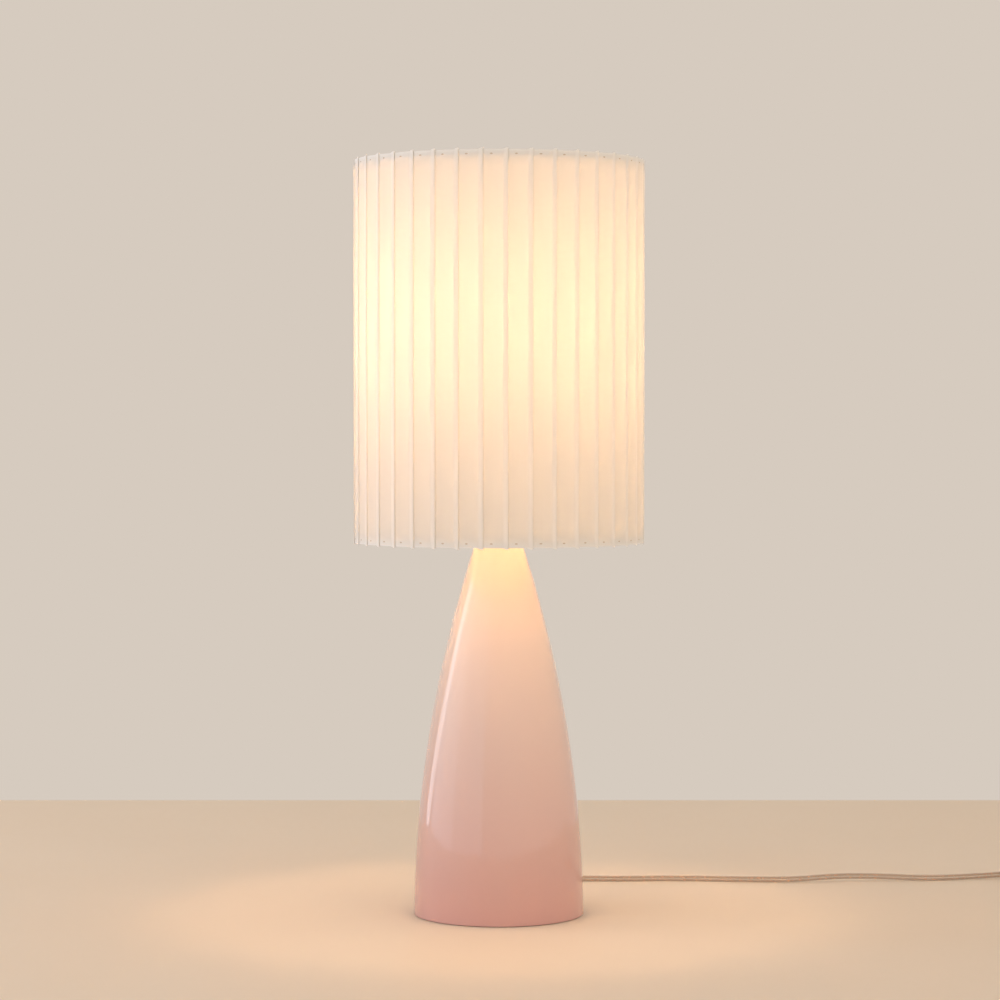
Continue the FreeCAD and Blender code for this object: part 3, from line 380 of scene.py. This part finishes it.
# Harp: a bow of spring wire whose two feet sit in a saddle under the lampholder, each locked by a
# sliding ferrule. Wire, saddle and ferrules are nickel plated, and the stud on top is turned brass.
nickel_plate = grained("nickel_plated_wire", "#A5A29C", "#BDB9B1", grain=0.003, depth=0.00001,
                       rough=(0.2, 0.34), stretch=(1, 1, 0.3), sockets={"Metallic": 1.0})
dress(nickel_plate, "harp_saddle", "harp_bow", "harp_ferrule_left", "harp_ferrule_right")
dress(satin_brass, "harp_stud")


# Lampholder: a brass cap and shell round a card sleeve, a moulded body and the screw shell.
# The shell snaps into the cap, which is screwed on the rod over the harp's saddle.
brown_card = grained("pressed_card", "#6B5038", "#7D6046", grain=0.0015, depth=0.0001,
                     rough=(0.85, 0.95))
phenolic = grained("moulded_phenolic", "#171310", "#2A221C", grain=0.002, depth=0.00003,
                   rough=(0.35, 0.5))
dress(satin_brass, "socket_cap", "socket_shell", "screw_shell", "centre_contact")
dress(brown_card, "socket_liner")
dress(phenolic, "socket_body")


# Switch: a brass shaft through the shell with a moulded paddle knob, turned by finger and thumb.
# The knob is black plastic with the fine sparked texture of its mould.
black_plastic = grained("moulded_black_plastic", "#0E0E0F", "#1A1A1B", grain=0.0006, depth=0.00004,
                        rough=(0.38, 0.55))
dress(satin_brass, "switch_shaft")
dress(black_plastic, "switch_knob")


# Bulb: an opal globe on a nickel screw cap, with a black glass bead round its tip.
# It is lit, and it is the lamp's own light: a warm white of about 2700 kelvin.
nickel_cap = grained("nickel_plated_brass", "#A09D97", "#BBB7AF", grain=0.004, depth=0.00002,
                     rough=(0.22, 0.36), stretch=(1, 1, 8), sockets={"Metallic": 1.0})
black_glass = grained("black_bead_glass", "#08080A", "#141416", grain=0.002, depth=0.00001,
                      rough=(0.06, 0.12))
opal_globe = grained("opal_globe_lit", "#F3EADB", "#FBF4E8", grain=0.01, depth=0.00001,
                     rough=(0.25, 0.35),
                     sockets={"Emission Color": (1.0, 0.60, 0.31, 1.0), "Emission Strength": 89.0})
dress(nickel_cap, "bulb_cap")
dress(black_glass, "bulb_tip")
dress(opal_globe, "bulb_globe")


# Shade frame: two wire rings with a hub on three arms in the upper one, all powder coated white.
# The hub drops over the harp's stud, and the finial clamps it.
white_wire = grained("white_powder_coat", "#E2DED6", "#EFECE6", grain=0.0008, depth=0.00004,
                     rough=(0.4, 0.55))
dress(white_wire, "top_ring", "bottom_ring", "spider_hub", "spider_arms")


# Shade: one strip of thin white polyester, heat set in knife pleats and sewn to the rings at both edges.
# Each panel runs out to a sharp fold, tucks back under itself and starts again behind it.
pleat_count = 38
shade_radius = 0.128
pleat_tuck = 0.0035
layer_gap = 0.0004
cloth_thickness = 0.00025
first_fold = math.radians(3.5 - 90)
shade_foot = 0.3275
shade_top = 0.6645
edge_drop = 0.0014
fold_wander = 0.00004
panel_steps = 14
corner_steps = 7
level_steps = 17


def one_pleat():
    """One pleat in plan: lengths along the drum from its fold, depths below the drum's outer line, how
    far each point has come from the last fold to this one, and how much of a fold's full height it has.
    A panel climbs two gaps to the fold, a half circle turns it back, a short run lies under it, and
    another half circle leads on to the next panel. The height rises over the panel's last fifth."""
    share = np.linspace(0, 1, panel_steps, endpoint=False)
    panel = 2 * np.pi * shade_radius / pleat_count + pleat_tuck
    turn = np.linspace(0, np.pi, corner_steps)
    back = np.linspace(0, 1, 4)[1:-1]
    round_out = layer_gap / 2 * np.sin(turn)
    round_down = layer_gap / 2 * (1 - np.cos(turn))
    length = np.concatenate([panel * (share - 1), round_out, -pleat_tuck * back,
                             -pleat_tuck - round_out[:-1]])
    depth = np.concatenate([2 * layer_gap * (1 - share), round_down, layer_gap + 0 * back,
                            layer_gap + round_down[:-1]])
    ways = np.concatenate([share, np.ones(len(length) - panel_steps)])
    near_fold = np.clip(share * 6 - 4.8, 0, 1)
    tip = np.concatenate([near_fold ** 2 * (3 - 2 * near_fold), 1 + 0 * turn, 1 - back,
                          0 * turn[:-1]])
    return length, depth, ways, tip


def pleat_line(length, depth):
    """The pleat repeated round the drum, as points of the sheet's middle line."""
    fold = np.arange(pleat_count)[:, None] * 2 * np.pi / pleat_count + first_fold
    turn = (fold + length / shade_radius).ravel()
    radius = np.tile(shade_radius - cloth_thickness / 2 - depth, pleat_count)
    return np.stack([radius * np.cos(turn), radius * np.sin(turn)], axis=1)


def pleated_sheet(line, ways, tip):
    """The sheet as a closed skin: up its outer face and down its inner face. Each face is the middle
    line moved sideways by half the cloth, and each fold wanders slowly as it rises, as set cloth does.
    Only the folds reach the full height, and the panels stop a little short of it."""
    ahead = np.roll(line, -1, axis=0) - np.roll(line, 1, axis=0)
    ahead /= np.linalg.norm(ahead, axis=1)[:, None]
    sideways = np.stack([ahead[:, 1], -ahead[:, 0]], axis=1)
    drop = np.tile(edge_drop * (1 - tip), pleat_count)
    rise = np.linspace(0, 1, level_steps)[:, None]
    level = shade_foot + drop + (shade_top - shade_foot - 2 * drop) * rise
    chance = np.random.default_rng(5)
    waves = 2 * np.pi * chance.uniform(0.4, 1.4, pleat_count)
    starts = chance.uniform(0, 2 * np.pi, pleat_count)
    wander = fold_wander * np.sin(waves * rise + starts)
    before = np.repeat(np.roll(wander, 1, axis=1), len(ways), axis=1)
    after = np.repeat(wander, len(ways), axis=1)
    shift = (before + (after - before) * np.tile(ways, pleat_count)) / shade_radius
    faces = []
    for half in (cloth_thickness / 2, -cloth_thickness / 2):
        across, back = (line + half * sideways).T
        faces.append(np.stack([across * np.cos(shift) - back * np.sin(shift),
                               across * np.sin(shift) + back * np.cos(shift), level], axis=-1))
    return np.concatenate([faces[0], faces[1][::-1]])


pleat_length, pleat_depth, pleat_ways, pleat_tip = one_pleat()
cloth_line = pleat_line(pleat_length, pleat_depth)
cloth_grid = pleated_sheet(cloth_line, pleat_ways, pleat_tip)
cloth_width = lengths_along(np.vstack([cloth_line, cloth_line[:1]]))[:-1]
cloth_height = shade_top - shade_foot
panel_width = float(cloth_width[panel_steps])
pleat_width = float(cloth_width[-1]) / pleat_count

# Thin polyester lets part of the light through, so the bulb glows in it, and it lets less through
# towards the hems, a painted shade that softens the edge of the tape's shadow; there it is also drawn
# whiter, a painted light that lifts that shade. Each panel is drawn a little whiter towards its fold,
# a painted shade at its root, where the fold before it shades it, and whiter still in the three layers
# there, and inside, where V is past the height. Layers hidden in a tuck are drawn sheerer, because real
# cloth also carries light along itself. Real threads are 0.2 mm apart; they are drawn at 1 mm so that
# they show.
thread_spacing = 0.001
slub_width = 0.0015
slub_length = 0.030
hem_light_height = 0.010
hem_shade_height = 0.014
shaded_height = 0.06
sheer_edge = 0.0002
panel_start = pleat_tuck - 0.0003
panel_middle = (panel_width + panel_start) / 2
panel_half = (panel_width - panel_start) / 2
strip_start = panel_width - pleat_tuck
pleated_cloth = blank_material("pleated_polyester")
cloth_place = add_node(pleated_cloth, "ShaderNodeUVMap", {}, uv_map="lengths")
cloth_uv = add_node(pleated_cloth, "ShaderNodeSeparateXYZ", {0: cloth_place.outputs[0]})
along_pleat = add_node(pleated_cloth, "ShaderNodeMath", {0: cloth_uv.outputs[0], 1: pleat_width},
                       operation="MODULO")
# Painted shade: each panel is drawn darker at its root, where the fold before it shades it, and whiter
# towards its own fold.
fold_painted_shade = add_node(pleated_cloth, "ShaderNodeMapRange",
                        {"Value": along_pleat.outputs[0], "From Min": pleat_tuck,
                         "From Max": strip_start, "To Max": 0.3})
layers_and_fold_shade = add_node(pleated_cloth, "ShaderNodeMapRange",
                   {"Value": along_pleat.outputs[0], "From Min": strip_start - 0.0015,
                    "From Max": strip_start + 0.0010, "To Min": fold_painted_shade.outputs[0]})
inside = add_node(pleated_cloth, "ShaderNodeMath", {0: cloth_uv.outputs[1], 1: cloth_height},
                  operation="GREATER_THAN")
from_edge = add_node(pleated_cloth, "ShaderNodeMath", {0: cloth_uv.outputs[1], 1: cloth_height / 2},
                     operation="PINGPONG")
# Painted light: the cloth is drawn whiter within 10 mm of each hem, lifting the shade of the tape.
hem_painted_light = add_node(pleated_cloth, "ShaderNodeMapRange",
                  {"Value": from_edge.outputs[0], "From Max": hem_light_height, "To Min": 0.8, "To Max": 0.0})
folded = add_node(pleated_cloth, "ShaderNodeMath", {0: layers_and_fold_shade.outputs[0], 1: inside.outputs[0]},
                  operation="MAXIMUM")
whiter = add_node(pleated_cloth, "ShaderNodeMath", {0: folded.outputs[0], 1: hem_painted_light.outputs[0]},
                  operation="MAXIMUM")
slub_place = add_node(pleated_cloth, "ShaderNodeMapping",
                      {"Vector": cloth_place.outputs[0], "Scale": [1 / slub_width, 1 / slub_length, 1]})
slub = add_node(pleated_cloth, "ShaderNodeTexNoise",
                {"Vector": slub_place.outputs[0], "Scale": 1.0, "Detail": 3.0})
whiteness = add_node(pleated_cloth, "ShaderNodeMath",
                     {0: slub.outputs[0], 1: 0.15, 2: whiter.outputs[0]}, operation="MULTIPLY_ADD")
cloth_colour = add_node(pleated_cloth, "ShaderNodeMix",
                        {0: whiteness.outputs[0], 6: linear("#DFDCD6"), 7: linear("#FAF8F5")},
                        data_type="RGBA")
warp = add_node(pleated_cloth, "ShaderNodeTexWave",
                {"Vector": cloth_place.outputs[0], "Scale": math.pi / (10 * thread_spacing),
                 "Distortion": 0.6}, bands_direction="X")
weft = add_node(pleated_cloth, "ShaderNodeTexWave",
                {"Vector": cloth_place.outputs[0], "Scale": math.pi / (10 * thread_spacing),
                 "Distortion": 0.6}, bands_direction="Y")
weave = add_node(pleated_cloth, "ShaderNodeMath", {0: warp.outputs[1], 1: weft.outputs[1]},
                 operation="ADD")
cloth_bump = add_node(pleated_cloth, "ShaderNodeBump",
                      {"Height": weave.outputs[0], "Distance": 0.00003})
cloth_face = add_node(pleated_cloth, "ShaderNodeBsdfPrincipled",
                      {"Base Color": cloth_colour.outputs[2], "Roughness": 0.85,
                       "Specular IOR Level": 0.25, "Normal": cloth_bump.outputs[0]})
cloth_glow = add_node(pleated_cloth, "ShaderNodeBsdfTranslucent",
                      {"Color": linear("#F7F5F1"), "Normal": cloth_bump.outputs[0]})
off_panel = add_node(pleated_cloth, "ShaderNodeMath",
                     {0: along_pleat.outputs[0], 1: panel_middle}, operation="SUBTRACT")
off_either = add_node(pleated_cloth, "ShaderNodeMath", {0: off_panel.outputs[0]},
                      operation="ABSOLUTE")
# Painted shade: panels let less light through within 14 mm of each hem, softening the edge of the tape's
# shadow.
panel_passes = add_node(pleated_cloth, "ShaderNodeMapRange",
                        {"Value": from_edge.outputs[0], "From Max": hem_shade_height,
                         "To Min": 0.14, "To Max": 0.27})
tuck_passes = add_node(pleated_cloth, "ShaderNodeMapRange",
                       {"Value": from_edge.outputs[0], "From Max": shaded_height,
                        "To Min": 0.78, "To Max": 0.97})
let_through = add_node(pleated_cloth, "ShaderNodeMapRange",
                       {"Value": off_either.outputs[0],
                        "From Min": panel_half - sheer_edge, "From Max": panel_half + sheer_edge,
                        "To Min": panel_passes.outputs[0], "To Max": tuck_passes.outputs[0]})
cloth_mix = add_node(pleated_cloth, "ShaderNodeMixShader",
                     {0: let_through.outputs[0], 1: cloth_face.outputs[0], 2: cloth_glow.outputs[0]})
add_node(pleated_cloth, "ShaderNodeOutputMaterial", {"Surface": cloth_mix.outputs[0]})

cloth_rise = cloth_height * np.concatenate([np.linspace(0, 1, level_steps),
                                            np.linspace(1, 2, level_steps), [2.0]])
pleated_shade = skin("pleated_shade", cloth_grid, pleated_cloth, "shade",
                     uv=(cloth_width, cloth_rise))
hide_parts("shade_fabric")


# Hems: dense white tape rolled and glued inside each edge of the pleats, which keeps the light in.
# Small stitches hold each panel to its roll, a third of the way along the panel.
hem_inside = 0.1227
hem_outside = 0.1265
hem_height = 0.0068
stitch_inset = 0.0050
stitch_size = [0.0002, 0.0006, 0.0030]
stitch_step = 6
hem_tape = grained("woven_hem_tape", "#DAD3C8", "#E6E0D6", grain=0.0012, depth=0.00008,
                   rough=(0.85, 0.95), stretch=(1, 1, 4))
stitch_thread = grained("stitching_thread", "#C6B6A4", "#D6C8B8", grain=0.0004, depth=0.00005,
                        rough=(0.8, 0.9))


def rolled_hem(low):
    """An ellipse between the ring and the cloth, from a level up by the hem's height."""
    turn = np.linspace(0, 2 * np.pi, 28, endpoint=False)
    return np.stack([(hem_inside + hem_outside) / 2 + (hem_outside - hem_inside) / 2 * np.cos(turn),
                     low + hem_height / 2 * (1 + np.sin(turn))], axis=1)


for edge, low in (("top", shade_top - edge_drop - hem_height), ("bottom", shade_foot + edge_drop)):
    hem = skin(edge + "_hem_tape", carried_round(rolled_hem(low), 228), hem_tape, "shade")
    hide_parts(edge + "_hem")


def stitches():
    """Short thread bars on the panels: each is a lens whose radius is a half sine along it, laid
    across the panel, at the same step of each panel and a little in from both edges."""
    share = np.linspace(0.04, 0.96, 7)
    girth = np.sin(np.pi * share)
    turn = np.linspace(0, 2 * np.pi, 8, endpoint=False)
    bar = np.stack([np.outer(girth, np.cos(turn)), np.outer(girth, np.sin(turn)),
                    np.outer(share - 0.5, np.ones(8))], axis=-1) * stitch_size
    panels = cloth_line.reshape(pleat_count, -1, 2)[:, :panel_steps]
    ahead = panels[:, stitch_step + 1] - panels[:, stitch_step - 1]
    ahead /= np.linalg.norm(ahead, axis=1)[:, None]
    outward = np.stack([ahead[:, 1], -ahead[:, 0]], axis=1)
    spot = panels[:, stitch_step] + outward * cloth_thickness / 2
    plan = (spot[:, None, None] + bar[None, ..., :1] * outward[:, None, None]
            + bar[None, ..., 2:] * ahead[:, None, None])
    height = np.broadcast_to(bar[None, ..., 1:2], plan.shape[:-1] + (1,))
    return np.stack([np.concatenate([plan, height + level], axis=-1)
                     for level in (shade_foot + stitch_inset, shade_top - stitch_inset)])


hem_stitches = skin("hem_stitches", stitches(), stitch_thread, "shade", closed=False)


# Finial: a turned brass knob on a threaded insert, screwed down on the harp's stud over the hub.
# It is the same satin brass as the neck.
dress(satin_brass, "finial_insert", "finial_knob")


# Cord: 1.8 m of clear flat twin flex, 5.6 mm wide and on its edge, as flat flex lies when it bends.
# It leaves the strain relief, lies behind the lamp and to the right, and ends in a coil in two layers.
cord_route = [
    (0.0, 0.0994, 0.009), (0.0, 0.127, 0.009), (0.005, 0.155, 0.004), (0.026, 0.174, 0.0028),
    (0.058, 0.178, 0.0028), (0.110, 0.173, 0.0028), (0.168, 0.178, 0.0028), (0.226, 0.171, 0.0028),
    (0.280, 0.169, 0.0028), (0.316, 0.177, 0.0048), (0.356, 0.180, 0.0044), (0.404, 0.177, 0.0028),
    (0.446, 0.187, 0.0028), (0.484, 0.195, 0.004), (0.5184, 0.195, 0.004)]
coil_turns = 6.25
coil_inner = 0.02106
coil_pitch = 0.0062
coil_layer = 0.0061
coil_centre = np.array([0.524, 0.154565, 0.004])


def coil_points():
    """Points of the coil, 16 to a turn, clockwise from the rear: the radius shrinks by the pitch for
    each turn to the middle and then grows again, and the level climbs one layer about the middle."""
    turn = np.linspace(0, coil_turns, round(16 * coil_turns) + 1)
    from_middle = turn - coil_turns / 2
    radius = coil_inner + coil_pitch * np.abs(from_middle)
    climb = np.clip(2 * from_middle + 0.5, 0, 1)
    level = coil_layer * climb ** 2 * (3 - 2 * climb)
    swing = 2 * np.pi * turn
    return coil_centre + np.stack([radius * np.sin(swing), radius * np.cos(swing), level], axis=1)


coil = coil_points()
cord_end = coil[-1] + [0, -0.0056, 0]
cord_path = spline_points(np.vstack([cord_route, coil, [cord_end]]))
cord_flex, cord_wires = flex_and_wires("cord_flex", cord_path)
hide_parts("cord_run", "cord_coil")


# Tie: a soft white strap round the turns at the left of the coil, closed on itself.
# It keeps the coil together and lies flat under it.
tie_low = np.array([0.4841, 0.0])
tie_high = np.array([0.5036, 0.0144])
tie_middle = 0.1546
tie_width = 0.009
tie_thickness = 0.001
tie_corner = 0.003


def strap_loop():
    """A flat section carried round a rectangle with round corners, in the plane across the turns.
    The section is a superellipse, so that its edges are soft."""
    low = tie_low + tie_corner
    high = tie_high - tie_corner
    centres = np.array([(high[0], high[1]), (low[0], high[1]), (low[0], low[1]), (high[0], low[1])])
    swing = (np.arange(4)[:, None] + np.linspace(0, 1, 9)) * np.pi / 2
    facing = np.stack([np.cos(swing), np.sin(swing)], axis=-1)
    loop = (centres[:, None] + (tie_corner - tie_thickness / 2) * facing).reshape(-1, 2)
    facing = facing.reshape(-1, 2)
    turn = np.linspace(0, 2 * np.pi, 16, endpoint=False)
    thick = tie_thickness / 2 * np.sign(np.cos(turn)) * np.abs(np.cos(turn)) ** 0.4
    wide = tie_width / 2 * np.sign(np.sin(turn)) * np.abs(np.sin(turn)) ** 0.4
    plan = loop[:, None] + thick[None, :, None] * facing[:, None]
    across = np.broadcast_to(tie_middle + wide, plan.shape[:2])
    return np.stack([plan[..., 0], across, plan[..., 1]], axis=-1)


white_strap = grained("woven_white_strap", "#D9D8D4", "#E8E7E3", grain=0.0015, depth=0.0001,
                      rough=(0.75, 0.9), stretch=(4, 1, 4))
coil_tie = skin("coil_tie", strap_loop(), white_strap, "lamp")
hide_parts("cord_tie")


# Plug: a clear moulded body with finger hollows, a ribbed relief round the cord and two flat blades.
# It lies beside the coil, and its blades are stamped brass.
plug_axis = (0.564435, 0.0101)
plug_front = 0.089
plug_back = 0.119
plug_half_width = 0.012
plug_half_height = 0.0101
plug_nose = 0.0015
hollow_place = 0.012
hollow_spread = 0.006
plug_neck = 0.009
plug_relief = 0.030
plug_relief_radius = 0.006
plug_relief_end = 0.0036


def plug_skin():
    """Superellipses along -Y whose half sizes follow the length: a block with waisted sides, a neck
    that shrinks by a smooth step, and a relief that tapers between grooves."""
    y = np.concatenate([[plug_front], np.linspace(plug_front + 0.0006, plug_back - 0.004, 22),
                        np.linspace(plug_back - 0.0035, plug_back + plug_relief, 70)])
    front = np.sqrt(np.clip((y - plug_front) / plug_nose, 0, 1)) * 0.12 + 0.88
    waist = 1 - 0.14 * np.exp(-((y - plug_front - hollow_place) / hollow_spread) ** 2)
    neck = np.clip((y - plug_back + plug_neck * 2 / 3) / plug_neck, 0, 1)
    neck = neck * neck * (3 - 2 * neck)
    taper = ribbed_taper(plug_back, plug_back + plug_relief, plug_relief_radius, plug_relief_end,
                         ribs=6, groove=0.0007)
    relief = np.interp(y, taper[:, 1], taper[:, 0])
    half_width = plug_half_width * front * waist * (1 - neck) + relief * neck
    half_height = plug_half_height * front * (1 - neck) + relief * neck
    power = 2 / (2 + 2.5 * (1 - neck))
    turn = np.linspace(0, 2 * np.pi, 48, endpoint=False)
    across = np.sign(np.cos(turn)) * np.abs(np.cos(turn)) ** power[:, None]
    up = np.sign(np.sin(turn)) * np.abs(np.sin(turn)) ** power[:, None]
    return np.stack([plug_axis[0] + half_width[:, None] * across,
                     np.broadcast_to(y[:, None], across.shape),
                     plug_axis[1] + half_height[:, None] * up], axis=-1)


plug_shell = skin("plug_shell", plug_skin(), clear_pvc, "lamp", closed=False)
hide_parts("plug_body")
dress(satin_brass, "plug_blades")


# Stage: a pale floor, a plain pale surround that is brighter in front on the right, and three soft
# panels on the left. The camera stands in front, a little above the lamp's middle, and looks down a bit.
floor_paint = grained("pale_floor", "#DFCDB8", "#E3D3C0", grain=0.2, depth=0.0, rough=(0.55, 0.65))
floor_side = 2.5
floor_front = -3.0
floor_rear = 0.76
floor_corners = [(-floor_side, floor_front, 0), (floor_side, floor_front, 0),
                 (floor_side, floor_rear, 0), (-floor_side, floor_rear, 0)]
floor_mesh = bpy.data.meshes.new("floor")
floor_mesh.from_pydata(floor_corners, [], [(0, 1, 2, 3)])
floor_mesh.materials.append(floor_paint)
floor = bpy.data.objects.new("floor", floor_mesh)
bpy.context.scene.collection.objects.link(floor)

surround = bpy.data.worlds.new("pale_surround")
surround.use_nodes = True
backdrop = surround.node_tree.nodes["Background"]
backdrop.inputs["Color"].default_value = linear("#D6CBBF")
facing_place = add_node(surround, "ShaderNodeTexCoord", {})
facing_front = add_node(surround, "ShaderNodeVectorMath",
                        {0: facing_place.outputs["Generated"], 1: (0.70, -0.70, 0.14)},
                        operation="DOT_PRODUCT")
front_glow = add_node(surround, "ShaderNodeMapRange",
                      {"Value": facing_front.outputs["Value"], "To Min": 1.0, "To Max": 1.72})
surround.node_tree.links.new(front_glow.outputs[0], backdrop.inputs["Strength"])
bpy.context.scene.world = surround


def soft_light(name, foot, head, width, facing, power, colour):
    """A soft panel from the middle of its foot to the middle of its head, which shines one way."""
    light = bpy.data.lights.new(name, "AREA")
    light.shape = "RECTANGLE"
    light.size = width
    light.size_y = math.dist(foot, head)
    light.energy = power
    light.color = linear(colour)[:3]
    up = np.subtract(head, foot) / light.size_y
    side = np.cross(facing, up)
    side /= np.linalg.norm(side)
    stand = bpy.data.objects.new(name, light)
    stand.matrix_world = Matrix.LocRotScale(
        Vector(np.add(foot, head) / 2), Matrix(np.stack([side, up, np.cross(side, up)], axis=1)), None)
    bpy.context.scene.collection.objects.link(stand)


soft_light("long_left", foot=(-1.75, -1.65, -0.05), head=(-1.75, -1.65, 2.3), width=4.7,
           facing=(1, 0, 0), power=20.0, colour="#E2ECFF")
soft_light("near_left", foot=(-1.70, -0.04, -0.05), head=(-1.70, -0.04, 2.0), width=1.28,
           facing=(1, 0, 0), power=3.8, colour="#E2ECFF")
soft_light("leaning_left", foot=(-1.70, 1.10, -0.08), head=(-1.88, 0.26, 1.00), width=0.30,
           facing=(0.94, -0.33, -0.10), power=2.2, colour="#F0F4FF")

lens_pixels = 2949.0
picture_pixels = 1000.0
camera_place = (0.0011, -2.60, 0.4422)
camera_dip = 1.684
camera_data = bpy.data.cameras.new("camera")
camera_data.sensor_width = 36.0
camera_data.lens = camera_data.sensor_width * lens_pixels / picture_pixels
camera = bpy.data.objects.new("camera", camera_data)
camera.location = camera_place
camera.rotation_euler = (math.radians(90 - camera_dip), 0, 0)
bpy.context.scene.collection.objects.link(camera)
bpy.context.scene.camera = camera
bpy.context.scene.view_settings.view_transform = "Standard"
